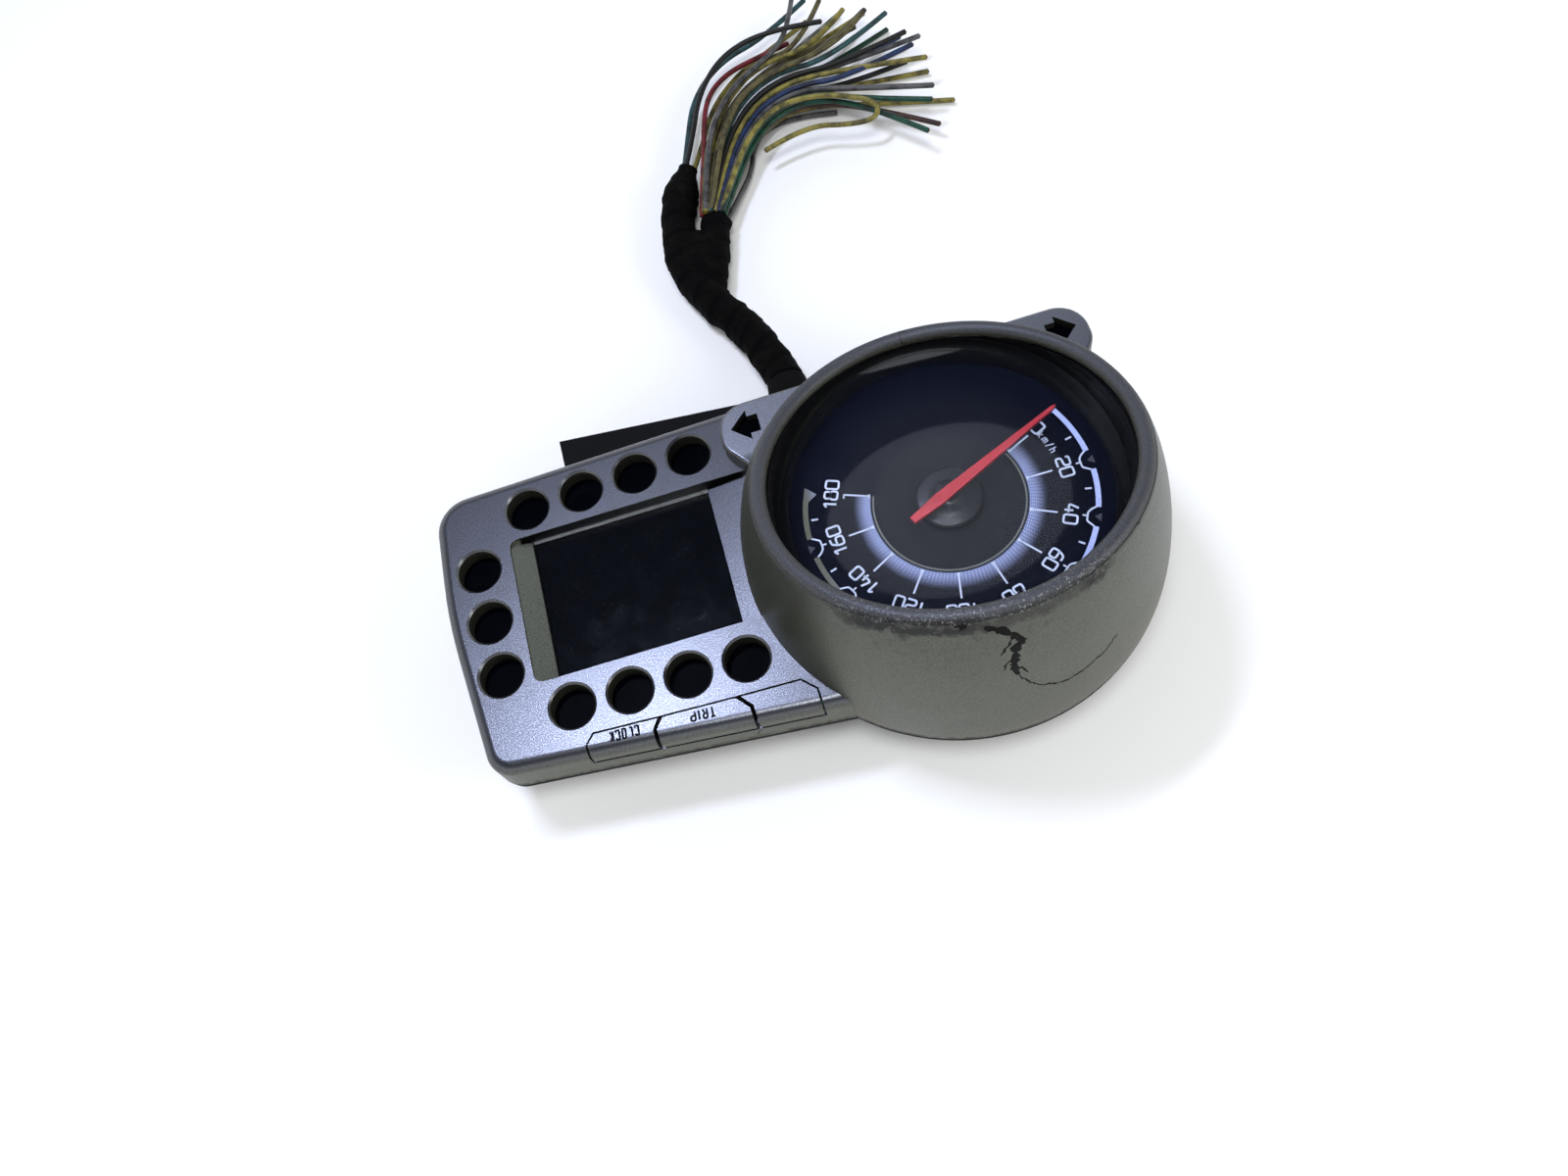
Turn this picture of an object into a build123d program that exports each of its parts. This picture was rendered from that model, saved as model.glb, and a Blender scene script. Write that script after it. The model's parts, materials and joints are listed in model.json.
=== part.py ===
"""Motorcycle instrument cluster with an analogue speedometer, a display panel
and a cut wiring harness.

Frame: +X along the panel towards the speedometer drum, +Y towards the harness,
+Z out of the dial face.  The rear casing's flat bottom stands on Z = 0.
Everything up to the harness is drawn about the dial axis and then shifted.
"""
from build123d import *
import os
from math import acos, cos, hypot, pi, radians, sin, tan

os.makedirs("parts", exist_ok=True)

# ---------------------------------------------------------------- dimensions
DIAL_X, DIAL_Y = 38.75, -5.5      # dial axis in the part frame
WALL = 2.4                        # moulded wall of both casings

# heights above the resting face
Z_FLANGE_LOW = 15.2               # underside of the rear casing's flange
Z_FLANGE = 17.2                   # top of the flange, under the seal
Z_SKIRT = 18.0                    # bottom edge of the silver cover
Z_BOARD = 19.0                    # underside of the circuit board
Z_BOARD_TOP = 20.6
Z_PANEL = 30.0                    # top of the display panel
Z_LOBE = 36.0                     # top of the two arrow lobes
Z_DIAL = 40.0                     # dial face
Z_NEEDLE = 44.0                   # underside of the needle
Z_LENS = 46.0                     # underside of the dial lens
Z_RIM = 61.2                      # centre of the hood rim, on the dial axis
RIM_SLOPE = 0.276                 # the hood rises towards the rider's top edge

# silver cover
DRUM_R = 53.0
RIM_IN, RIM_OUT = 42.3, 46.4
DRUM_SECTIONS = (                 # radius, height on the axis, slope
    (DRUM_R, Z_SKIRT, 0.0),
    (52.9, Z_PANEL, 0.0),
    (51.6, 40.5, 0.07),
    (49.8, 49.5, 0.16),
    (47.9, 56.6, 0.235),
    (RIM_OUT, Z_RIM, RIM_SLOPE),
)
PANEL_CORNERS = (                 # x, y, corner radius
    (-129.6, 47.9, 9.5),
    (-131.0, 14.0, 150.0),
    (-126.2, -30.6, 7.0),
    (-30.0, -39.0, 0.0),
    (-20.0, -36.0, 0.0),
    (-20.0, 44.0, 0.0),
    (-36.0, 50.0, 3.0),
)
LOBE_X, LOBE_Y, LOBE_LOW, LOBE_CORNER = 49.6, 46.9, 35.0, 8.0
ARROW_X, ARROW_Y = 42.0, 39.6

# warning lamp holes: start, step and count of each row
HOLE_R = 5.75
LAMP_ROWS = (
    ((-104.5, 38.3), (15.05, 0.53), 4),
    ((-102.9, -19.0), (14.87, -0.40), 4),
    ((-120.1, 24.6), (0.50, -15.10), 3),
)

# display window and the pocket it sits in
LCD_X0, LCD_X1 = -105.4, -57.0
POCKET_X0, POCKET_X1 = -111.0, -42.0
POCKET_Y0, POCKET_Y1 = -10.6, 30.4

# push buttons
BUTTON_GAP = 0.5
BUTTON_TRAVEL = 0.7
BUTTON_LOW = 25.0
BUTTONS = {
    "button_clock": [(-101.7, -40), (-101.6, -29.8), (-99.3, -27.2), (-82.0, -28.0), (-84.2, -31.0), (-84.2, -40)],
    "button_trip": [(-84.2, -40), (-84.2, -31.0), (-82.0, -28.0), (-63.2, -28.7), (-60.0, -32.3), (-59.9, -41)],
    "button_mode": [(-59.9, -41), (-60.0, -32.3), (-63.2, -28.7), (-46.9, -29.1), (-43.4, -32.6), (-43.2, -42)],
}
STEMS = {"button_clock": (-92.5, -28.9), "button_trip": (-72.2, -29.9), "button_mode": (-52.2, -31.2)}

# dial
DIAL_R = 42.8
NEEDLE_ANGLE = 24.0               # rest direction, at 0 km/h
NEEDLE_TIP, NEEDLE_TAIL = 34.6, 11.4
SHAFT_R = 0.75

# gear train of the gauge motor
OUT_TEETH, IDLER_PINION, OUT_MODULE = 54, 12, 0.40
IDLER_TEETH, ROTOR_PINION, IN_MODULE = 48, 12, 0.35
OUT_DISTANCE = (OUT_TEETH + IDLER_PINION) * OUT_MODULE / 2
IN_DISTANCE = (IDLER_TEETH + ROTOR_PINION) * IN_MODULE / 2
IDLER_AT = (0.0, -OUT_DISTANCE)
ROTOR_AT = (IN_DISTANCE * cos(radians(150)), -OUT_DISTANCE + IN_DISTANCE * sin(radians(150)))

# fixings
SCREW_R = 1.4
CASING_SCREWS = (
    (-121.8, 39.0), (-119.6, -22.6), (27.2, -38.8), (-27.2, -38.8), (46.7, 8.2), (8.2, 46.7),
)
BOARD_SCREWS = ((-112.0, -14.2), (-112.5, 33.2), (24.0, 24.0), (24.0, -24.0), (-24.0, 24.0), (-24.0, -24.0))
MOUNT_PCD = 60.0
MOUNT_BORE = 2.5                  # M6 tapping size
MOUNTS = [(MOUNT_PCD / 2 * cos(radians(a)), MOUNT_PCD / 2 * sin(radians(a))) for a in (90, 210, 330)]

# harness, in the part frame
GLAND_X, GLAND_Z = -28.35, 8.6    # about the dial axis
TRUNK_D = 10.5
WIRE_D = 1.7
TRUNK = [
    (10.4, 60.5, 8.6), (8.3, 72.0, 7.2), (3.0, 86.0, 6.0), (-4.0, 98.0, 5.6),
    (-8.5, 111.0, 5.6), (-8.2, 124.0, 5.8), (-4.6, 137.5, 6.2), (0.8, 148.0, 6.8),
]
STUB_START, STUB_END, STUB_R = (-2.5, 101.0, 5.6), (4.6, 126.0, 6.3), 4.3
# the loose wires fan out between two guide lines, then part to their own ends
OUTER_GUIDE = [(1.5, 126.9), (4.8, 141.0), (10.0, 156.5), (18.5, 170.5), (31.5, 180.5)]
INNER_GUIDE = [(7.7, 125.1), (14.8, 136.8), (22.8, 148.6), (33.0, 157.2), (46.5, 158.5)]
STUB_WIRE_ENDS = [                # bend point and cut end, outermost wire first
    ((47.0, 187.5), (64.0, 197.0)), ((51.0, 183.0), (71.0, 190.0)), ((50.0, 178.5), (66.0, 181.5)),
    ((55.0, 176.0), (77.0, 184.0)), ((57.0, 171.0), (79.0, 175.5)), ((60.0, 168.5), (84.0, 169.5)),
    ((60.0, 165.0), (84.0, 161.5)), ((58.0, 163.0), (78.0, 164.5)), ((59.0, 158.0), (77.0, 150.0)),
    ((64.0, 155.0), (88.0, 147.0)), ((63.0, 150.5), (80.0, 136.0)), ((61.0, 149.0), (75.0, 131.5)),
]
LEFT_WIRES = [
    [(-0.6, 148.7, 5.4), (3.2, 160.0, 5.6), (8.8, 176.0, 6.0), (21.0, 188.5, 6.0), (38.0, 193.0, 6.0), (54.0, 202.0, 7.5)],
    [(0.8, 148.0, 8.8), (5.6, 158.5, 9.6), (11.5, 173.5, 11.0), (22.5, 185.0, 12.5), (39.0, 188.0, 13.5), (56.0, 185.5, 12.5)],
    [(2.2, 147.3, 5.4), (7.4, 158.0, 4.0), (13.0, 171.0, 3.0), (23.5, 183.0, 2.4), (38.0, 190.5, 2.2), (53.0, 198.0, 2.0)],
]


# ------------------------------------------------------------------- helpers
def save(name, *solids, about_dial=True):
    """Write one node, shifting it from the dial axis to the part frame."""
    if about_dial:
        solids = [Pos(DIAL_X, DIAL_Y, 0) * solid for solid in solids]
    shape = solids[0] if len(solids) == 1 else Compound(children=list(solids))
    export_step(shape, f"parts/{name}.step")


def slab(face, low, high):
    """Extrude a plan outline between two heights."""
    return extrude(Pos(0, 0, low) * face, amount=high - low)


def rod(radius, low, high, at=(0, 0)):
    """Upright cylinder between two heights."""
    return Pos(at[0], at[1], (low + high) / 2) * Cylinder(radius, high - low)


def tube(outer, inner, low, high, at=(0, 0)):
    return rod(outer, low, high, at) - rod(inner, low - 1, high + 1, at)


def block(x0, x1, y0, y1, z0, z1):
    """Box between two corners."""
    return Pos((x0 + x1) / 2, (y0 + y1) / 2, (z0 + z1) / 2) * Box(x1 - x0, y1 - y0, z1 - z0)


def polygon(points):
    return make_face(Polyline(*points, close=True))


def round_corner(face, x, y, radius):
    corner = face.vertices().sort_by_distance((x, y, 0))[0]
    return fillet(corner, radius)


def panel_outline():
    face = polygon([(x, y) for x, y, _ in PANEL_CORNERS])
    for x, y, radius in PANEL_CORNERS:
        if radius:
            face = round_corner(face, x, y, radius)
    return face


PANEL = panel_outline()


def panel_inset(inset):
    return offset(PANEL, -inset) if inset else PANEL


def lobe_outline(side, inset=0.0):
    """Rounded corner tab that carries a turn arrow; side is -1 or +1."""
    face = polygon([(side * 12, 12), (side * 33, 12.6), (side * LOBE_X, LOBE_LOW), (side * LOBE_X, LOBE_Y), (side * 12, LOBE_Y)])
    face = round_corner(face, side * LOBE_X, LOBE_Y, LOBE_CORNER)
    face = round_corner(face, side * LOBE_X, LOBE_LOW, 6.0)
    return offset(face, -inset) if inset else face


def foot(inset):
    """Whole plan outline, drawn inwards: panel, drum and both lobes."""
    face = panel_inset(inset) + Circle(DRUM_R - inset)
    for side in (-1, 1):
        face += lobe_outline(side, inset)
    return face


def drum_body(inset):
    """Barrel-sided drum whose top is cut to the slope of the hood."""
    sections = []
    for radius, height, slope in DRUM_SECTIONS:
        plane = Plane(origin=(0, 0, height), x_dir=(1, 0, 0), z_dir=(0, slope, 1))
        sections.append(plane * Circle(radius - inset))
    return loft(sections)


def arrow(side, grow=0.0):
    """Block arrow that points away from the dial."""
    head, shaft = 4.5 + grow, 2.6 + grow
    pts = [(4.5 + grow, 0), (-0.4, head), (-0.4, shaft), (-3.2, shaft), (-3.2, -shaft), (-0.4, -shaft), (-0.4, -head)]
    return polygon([(side * (ARROW_X + x), ARROW_Y + y) for x, y in pts])


def lamp_centres():
    for (x, y), (dx, dy), count in LAMP_ROWS:
        for i in range(count):
            yield x + i * dx, y + i * dy


LAMPS = list(lamp_centres())


def gear_outline(teeth, module, turn=0.0, backlash=0.05, addendum=0.9, dedendum=1.25):
    """Spur gear with 20 degree involute flanks and a tooth centred on turn."""
    pitch_r = teeth * module / 2
    base_r = pitch_r * cos(radians(20))
    root_r, tip_r = pitch_r - dedendum * module, pitch_r + addendum * module
    half = pi / (2 * teeth) - backlash / (2 * pitch_r) + tan(radians(20)) - radians(20)

    def half_angle(radius):
        angle = acos(min(1.0, base_r / radius))
        return half - (tan(angle) - angle)

    start = max(base_r, root_r)
    radii = [start + (tip_r - start) * i / 4 for i in range(5)]
    if root_r < start:
        radii = [root_r] + radii
    points = []
    for tooth in range(teeth):
        centre = radians(turn) + 2 * pi * tooth / teeth
        for r in radii:
            points.append((r * cos(centre - half_angle(r)), r * sin(centre - half_angle(r))))
        for r in reversed(radii):
            points.append((r * cos(centre + half_angle(r)), r * sin(centre + half_angle(r))))
    return polygon(points)


def cord(name, points, diameter):
    """Round cord: straight runs joined by the largest arcs that the runs allow."""
    pts = [Vector(*p) for p in points]
    radii = []
    for a, b, c in zip(pts, pts[1:], pts[2:]):
        turn = (b - a).get_angle(c - b)
        radii.append(0.45 * min((b - a).length, (c - b).length) / tan(radians(turn / 2)))
    path = FilletPolyline(*pts, radius=radii)
    section = Plane(origin=pts[0], z_dir=pts[1] - pts[0]) * Circle(diameter / 2)
    solid = sweep(section, path=path)
    ideal = pi * diameter ** 2 / 4 * path.length
    print(f"{name}: length {path.length:.1f}, least radius {min(radii):.1f} = {min(radii) / diameter:.1f} d,"
          f" volume/ideal {solid.volume / ideal:.4f}, radii {[round(r) for r in radii]}")
    save(name, solid, about_dial=False)


# -------------------------------------------------------------- silver cover
panel_block = slab(PANEL, Z_SKIRT, Z_PANEL)
panel_block = fillet(panel_block.edges().group_by(Axis.Z)[-1], 3.0)


def front_cover():
    cover = panel_block + drum_body(0)
    for side in (-1, 1):
        lobe = slab(lobe_outline(side), Z_SKIRT, Z_LOBE)
        cover += fillet(lobe.edges().group_by(Axis.Z)[-1], 0.9)
    cover -= slab(panel_inset(WALL), Z_SKIRT - 1, Z_PANEL - WALL)
    cover += block(-112.6, -44.0, -12.0, 32.0, 26.0, Z_PANEL - WALL + 0.1)
    cover -= drum_body(2.6)
    cover -= rod(DRUM_R - 2.6, Z_SKIRT - 1, Z_SKIRT + 1)
    for side in (-1, 1):
        cover -= slab(lobe_outline(side, WALL), Z_SKIRT - 1, Z_LOBE - WALL)
    rim = Plane(origin=(0, 0, Z_RIM - 0.1), x_dir=(1, 0, 0), z_dir=(0, RIM_SLOPE, 1))
    cover += rim * Rot(0, 0, 100) * Torus((RIM_IN + RIM_OUT - 0.1) / 2, (RIM_OUT - RIM_IN - 0.3) / 2)

    # lamp collars and screw bosses under the panel
    for at in LAMPS:
        cover += rod(6.6, 25.2, Z_PANEL - WALL + 0.1, at)
    for x, y in CASING_SCREWS:
        cover += rod(3.4, Z_FLANGE + 0.1, 27.7 if x < -60 else 32.0, (x, y))

    # window pocket: a shelf at the free end and a long ramp towards the drum
    side_view = polygon([
        (POCKET_X0, 31.0), (POCKET_X0, 28.9), (LCD_X0, 27.2), (LCD_X0, 25.0),
        (LCD_X1, 25.0), (LCD_X1, 26.9), (POCKET_X1, 28.6), (POCKET_X1, 31.0)])
    far_edge = Plane(origin=(0, POCKET_Y1, 0), x_dir=(1, 0, 0), z_dir=(0, -1, 0))
    pocket = extrude(far_edge * side_view, amount=POCKET_Y1 - POCKET_Y0)
    rim_view = polygon([
        (POCKET_X0, POCKET_Y0), (POCKET_X1, POCKET_Y0), (POCKET_X1, POCKET_Y1), (POCKET_X0, POCKET_Y1)])
    for y in (POCKET_Y0, POCKET_Y1):
        rim_view = round_corner(rim_view, POCKET_X0, y, 2.6)
    cover -= (pocket & slab(rim_view, 24.0, 32.0)) - drum_body(0) - slab(lobe_outline(-1), Z_SKIRT, Z_LOBE)
    for x, y in LAMPS:
        cover -= rod(HOLE_R, 24.0, Z_PANEL + 1, (x, y))
        cover -= Pos(x, y, Z_PANEL - 0.25) * Cone(HOLE_R, HOLE_R + 0.6, 0.6)
    for side in (-1, 1):
        cover -= slab(arrow(side), Z_LOBE - WALL - 0.5, Z_LOBE + 1)
    for x, y in CASING_SCREWS:
        cover -= rod(SCREW_R, Z_FLANGE - 1, 26.6, (x, y))
    for outline in BUTTONS.values():
        cover -= slab(polygon(outline), BUTTON_LOW - BUTTON_TRAVEL - 0.4, Z_PANEL + 1)
    return cover


save("front_cover", front_cover())

# ------------------------------------------------------------------- buttons
for name, outline in BUTTONS.items():
    stem_x, stem_y = STEMS[name]
    cap = panel_block & slab(offset(polygon(outline), -BUTTON_GAP, kind=Kind.INTERSECTION), BUTTON_LOW, Z_PANEL + 1)
    cap -= slab(panel_inset(2.1), Z_SKIRT, Z_PANEL - 2.0)
    cap += block(stem_x - 1.8, stem_x + 1.8, stem_y - 1.2, stem_y + 1.2, 23.7, Z_PANEL - 1.5)
    hook_y = -26.2 if name == "button_clock" else -26.9
    cap += block(stem_x - 1.8, stem_x + 1.8, stem_y, hook_y, 26.3, 27.2)
    save(name, cap)

keypad = block(-102.0, -44.0, -33.0, -27.4, Z_BOARD_TOP, Z_BOARD_TOP + 0.8)
keypad = keypad & slab(panel_inset(WALL + 0.6), Z_BOARD, Z_PANEL)
pills = []
for at in STEMS.values():
    keypad += rod(1.7, Z_BOARD_TOP + 0.4, 23.6, at)
    keypad -= rod(1.2, Z_BOARD_TOP - 1, 22.4, at)
    pills.append(rod(0.9, 21.7, 22.4, at))
save("keypad_membrane", keypad)
save("contact_pills", *pills)

# -------------------------------------------------------------- rear casing
LEDGE = [(-94.5, 34.0), (-94.5, 63.6), (-37.0, 57.4), (-18.6, 57.4), (-18.6, 30.0)]
LEDGE_INNER = [(-92.1, 20.0), (-92.1, 60.9), (-37.2, 55.0), (-21.0, 55.0), (-21.0, 20.0)]


def belly(inset):
    """Outline of the casing's deep part, without the arrow lobes."""
    return panel_inset(inset) + Circle(DRUM_R - inset)


def rear_casing():
    tub = slab(belly(11.0), 0, Z_FLANGE_LOW + 0.1) + slab(polygon(LEDGE), 0, Z_FLANGE)
    casing = tub + slab(foot(0.4), Z_FLANGE_LOW, Z_FLANGE)
    rib = slab(foot(2.7), Z_FLANGE - 0.1, Z_BOARD) - slab(foot(5.6), Z_FLANGE - 1, Z_BOARD + 1)
    casing += rib
    casing -= slab(belly(11.0 + WALL), WALL, Z_FLANGE + 3)
    casing -= slab(polygon(LEDGE_INNER), WALL, Z_FLANGE_LOW - 0.4)
    casing -= block(-78.4, -43.6, 33.8, 46.8, WALL, Z_BOARD + 1)
    for at in BOARD_SCREWS:
        casing += rod(3.0, 1.0, Z_BOARD, at)
    for at in MOUNTS:
        casing += rod(7.0, 0.0, 12.5, at)
    for at in BOARD_SCREWS:
        casing -= rod(1.1, 8.0, Z_BOARD + 1, at)
    for at in MOUNTS:
        casing -= rod(4.2, -1.0, 10.0, at)
    for at in CASING_SCREWS:
        casing -= rod(3.9, Z_FLANGE, Z_BOARD + 1, at)
        casing -= rod(1.7, Z_FLANGE_LOW - 1, Z_BOARD + 1, at)
    hole = Pos(GLAND_X, 56.0, GLAND_Z) * Rot(90, 0, 0) * Cylinder(5.6, 8)
    return casing - hole


save("rear_casing", rear_casing())
save("casing_seal", slab(foot(0.6), Z_FLANGE, Z_SKIRT) - slab(foot(2.2), Z_FLANGE - 1, Z_SKIRT + 1))
save("mount_inserts", *[tube(4.2, MOUNT_BORE, 0.0, 10.0, at) for at in MOUNTS])

casing_screws = []
for x, y in CASING_SCREWS:
    screw = rod(2.7, Z_FLANGE_LOW - 2.0, Z_FLANGE_LOW, (x, y)) + rod(SCREW_R, Z_FLANGE_LOW - 1, 25.5, (x, y))
    screw -= block(x - 2.0, x + 2.0, y - 0.35, y + 0.35, Z_FLANGE_LOW - 3, Z_FLANGE_LOW - 1)
    screw -= block(x - 0.35, x + 0.35, y - 2.0, y + 2.0, Z_FLANGE_LOW - 3, Z_FLANGE_LOW - 1)
    casing_screws.append(screw)
save("casing_screws", *casing_screws)

board_screws = []
for x, y in BOARD_SCREWS:
    screw = rod(2.4, Z_BOARD_TOP, Z_BOARD_TOP + 1.6, (x, y)) + rod(1.1, 10.0, Z_BOARD_TOP + 1, (x, y))
    board_screws.append(screw - block(x - 1.8, x + 1.8, y - 0.3, y + 0.3, Z_BOARD_TOP + 0.9, Z_BOARD_TOP + 2))
save("board_screws", *board_screws)

# ---------------------------------------------------------- dial and its well
rim_cut = Plane(origin=(0, 0, Z_RIM - 2.25), x_dir=(1, 0, 0), z_dir=(0, RIM_SLOPE, 1))
above_liner = rim_cut * Pos(0, 0, 30) * Box(140, 140, 60)
liner = (rod(43.4, Z_DIAL, 78) & drum_body(2.9)) - above_liner
liner -= rod(42.15, Z_LENS, 79) & drum_body(4.15)
liner -= rod(39.2, Z_DIAL - 1, Z_LENS + 1)
save("hood_liner", liner)
save("dial_lens", rod(42.0, Z_LENS, Z_LENS + 1.3))
save("dial_face", rod(DIAL_R, Z_DIAL - 0.8, Z_DIAL) - rod(2.2, Z_DIAL - 2, Z_DIAL + 1))
save("dial_light_guide", rod(DIAL_R, 36.2, Z_DIAL - 0.8) - rod(4.0, 30, Z_DIAL))
carrier = tube(43.2, 41.4, Z_BOARD_TOP, 36.2) + tube(43.2, 36.5, 34.8, 36.2)
save("dial_carrier", carrier)

# -------------------------------------------------------------------- needle
aim = Rot(0, 0, NEEDLE_ANGLE)
pointer = polygon([(-NEEDLE_TAIL, -0.9), (-3.0, -1.5), (NEEDLE_TIP - 1.0, -0.45), (NEEDLE_TIP, 0),
                   (NEEDLE_TIP - 1.0, 0.45), (-3.0, 1.5), (-NEEDLE_TAIL, 0.9)])
save("needle", aim * slab(pointer, Z_NEEDLE, Z_NEEDLE + 1.0))
hub = rod(8.2, 40.8, 41.6) + rod(2.2, 41.6, Z_NEEDLE) + Pos(0, 0, 42.3) * Cone(4.2, 2.2, 1.4)
hub -= rod(SHAFT_R, 40.0, 43.4)
save("needle_hub", hub)
save("needle_shaft", rod(SHAFT_R, 21.9, 43.4))

# --------------------------------------------------------------- gauge motor
M0, M1 = (-15.0, -24.0), (13.0, 13.5)
motor_base = block(M0[0], M1[0], M0[1], M1[1], Z_BOARD_TOP, 31.0)
motor_base -= block(M0[0] + 1.2, M1[0] - 1.2, M0[1] + 1.2, M1[1] - 1.2, Z_BOARD_TOP + 1.2, 32.0)
motor_base += rod(1.8, Z_BOARD_TOP + 1, 23.6)
motor_base -= rod(SHAFT_R + 0.05, 21.8, 24.0)
for at, top in ((IDLER_AT, 30.8), (ROTOR_AT, 27.9)):
    motor_base += rod(1.3, Z_BOARD_TOP + 1, 22.2, at) + rod(0.5, Z_BOARD_TOP + 1, top, at)
save("motor_base", motor_base)
save("motor_lid", block(M0[0], M1[0], M0[1], M1[1], 31.0, 32.2) - rod(SHAFT_R + 0.05, 30, 33))

to_idler = -90.0
to_rotor = 150.0
out_gear = slab(gear_outline(OUT_TEETH, OUT_MODULE, to_idler), 28.6, 30.2) + rod(2.0, 28.2, 30.7)
out_gear -= rod(SHAFT_R, 27, 32)
save("motor_output_gear", out_gear)
idler = slab(gear_outline(IDLER_TEETH, IN_MODULE, to_rotor), 25.4, 27.0)
idler += slab(gear_outline(IDLER_PINION, OUT_MODULE, 90 + 180 / IDLER_PINION), 26.9, 30.4)
idler -= rod(0.55, 24, 32)
save("motor_idler", Pos(*IDLER_AT, 0) * idler)
rotor = slab(gear_outline(ROTOR_PINION, IN_MODULE, -30 + 180 / ROTOR_PINION), 24.9, 27.4) + rod(3.6, 22.5, 25.0)
rotor -= rod(0.55, 20, 32)
save("motor_rotor", Pos(*ROTOR_AT, 0) * rotor)
rx, ry = ROTOR_AT
bar_a = block(rx - 0.7, rx + 0.7, ry + 4.8, 9.4, 23.2, 24.0)
bar_b = block(rx + 4.8, 7.2, ry - 0.7, ry + 0.7, 23.2, 24.0)
stator = tube(6.0, 4.3, 23.2, 24.0, ROTOR_AT) & block(M0[0] + 1.4, M1[0] - 1.4, M0[1] + 1.4, M1[1] - 1.4, 20, 30)
save("motor_stator", stator + bar_a + bar_b)
coil_a = Pos(rx, 3.2, 23.6) * Rot(90, 0, 0) * Cylinder(1.6, 9.0) - bar_a
coil_b = Pos(2.0, ry, 23.6) * Rot(0, 90, 0) * Cylinder(1.6, 8.6) - bar_b
save("motor_coils", coil_a, coil_b)

# ------------------------------------------------------- board and its parts
board = slab(foot(2.95), Z_BOARD, Z_BOARD_TOP)
for at in CASING_SCREWS:
    board -= rod(3.8, Z_BOARD - 1, Z_BOARD_TOP + 1, at)
for at in BOARD_SCREWS:
    board -= rod(1.4, Z_BOARD - 1, Z_BOARD_TOP + 1, at)
save("circuit_board", board)
save("processor_chip", block(-36.0, -24.0, -12.0, 0.0, Z_BOARD - 1.6, Z_BOARD))
save("capacitors", rod(4.0, 8.5, Z_BOARD, (-42.0, -15.0)), rod(4.0, 8.5, Z_BOARD, (-52.0, -15.0)))
dial_lamps = [(31 * cos(radians(a)), 31 * sin(radians(a))) for a in range(22, 382, 45)]
turn_lamps = [(-ARROW_X, ARROW_Y), (ARROW_X, ARROW_Y)]
save("led_chips", *[block(x - 1.6, x + 1.6, y - 1.0, y + 1.0, Z_BOARD_TOP, Z_BOARD_TOP + 0.9)
                    for x, y in LAMPS + dial_lamps + turn_lamps])
save("indicator_lenses", *[rod(6.4, 23.4, 25.2, at) for at in LAMPS])

light_box = slab(panel_inset(6.2), 21.5, 23.4) & block(-140, -53.0, -26.4, 60, 20, 30)
for at in CASING_SCREWS:
    light_box -= rod(3.9, 20, 30, at)
for at in BOARD_SCREWS[:2]:
    light_box -= rod(3.4, 20, 30, at)
light_box -= block(-110.0, -52.0, -11.7, 31.9, 20, 30)
for at in LAMPS:
    light_box -= rod(4.7, 20, 30, at)
for x in (-111.4, -96.0, -80.0, -66.0):
    light_box += rod(1.0, Z_BOARD_TOP, 22.0, (x, 37.0 if x > -100 else 10.0))
save("indicator_light_box", light_box)

# turn arrows: a tinted plate under each lobe, on the end of its light pipe
for side, word in ((-1, "left"), (1, "right")):
    x0, x1 = sorted((side * 36.8, side * 47.0))
    lens = block(x0, x1, 34.6, 44.2, 32.0, Z_LOBE - WALL) & slab(lobe_outline(side, WALL + 0.2), 30, 40)
    save(f"turn_lens_{word}", lens + rod(2.6, 21.8, 32.5, (side * ARROW_X, ARROW_Y)))

# --------------------------------------------------------------- the display
save("lcd_window", block(-107.8, -55.0, -11.4, 31.3, 24.8, 26.0))
save("lcd_glass", block(-107.6, -55.2, -9.5, 29.7, 22.7, 24.7))
frame = block(-109.2, -53.6, -11.1, 31.3, Z_BOARD_TOP, 24.7) - block(-107.7, -55.1, -9.6, 29.8, 20, 26)
save("lcd_frame", frame)
save("lcd_backlight", block(-105.8, -57.0, -7.2, 27.4, Z_BOARD_TOP + 0.2, 22.5))
save("lcd_contact_strips", block(-105.8, -57.0, -9.4, -7.7, Z_BOARD_TOP, 22.7),
     block(-105.8, -57.0, 27.9, 29.6, Z_BOARD_TOP, 22.7))

# ------------------------------------------------------ connector and inlet
header = block(-76.0, -46.0, 36.0, 45.0, 11.5, Z_BOARD) - block(-74.8, -47.2, 37.2, 43.8, 10.0, 17.5)
for i in range(8):
    for y in (39.2, 41.8):
        header += block(-72.4 + 3.2 * i, -71.8 + 3.2 * i, y - 0.3, y + 0.3, 12.5, 18.0)
save("board_header", header)
plug = block(-78.0, -44.0, 34.6, 46.4, 4.0, 11.5) + block(-74.4, -47.6, 37.5, 43.5, 11.4, 12.4)
save("loom_plug", plug)
loom_path = FilletPolyline((-44.0, 40.5, 8.0), (-35.5, 41.2, 8.2), (-GLAND_X * -1, 49.0, GLAND_Z),
                           (GLAND_X, 66.0, GLAND_Z), radius=6.5)
loom = sweep(Plane(origin=(-44.0, 40.5, 8.0), z_dir=(8.5, 0.7, 0.2)) * Circle(3.6), path=loom_path)
save("inner_loom", loom)
along = Pos(GLAND_X, 0, GLAND_Z) * Rot(-90, 0, 0)
gland = along * (rod(5.6, 55.0, 57.4) + rod(7.4, 57.4, 59.4) + Pos(0, 0, 62.7) * Cone(6.4, 5.6, 6.6)
                 + rod(6.1, 53.2, 55.0))
save("cable_gland", gland - along * rod(3.6, 40, 70))

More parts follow.
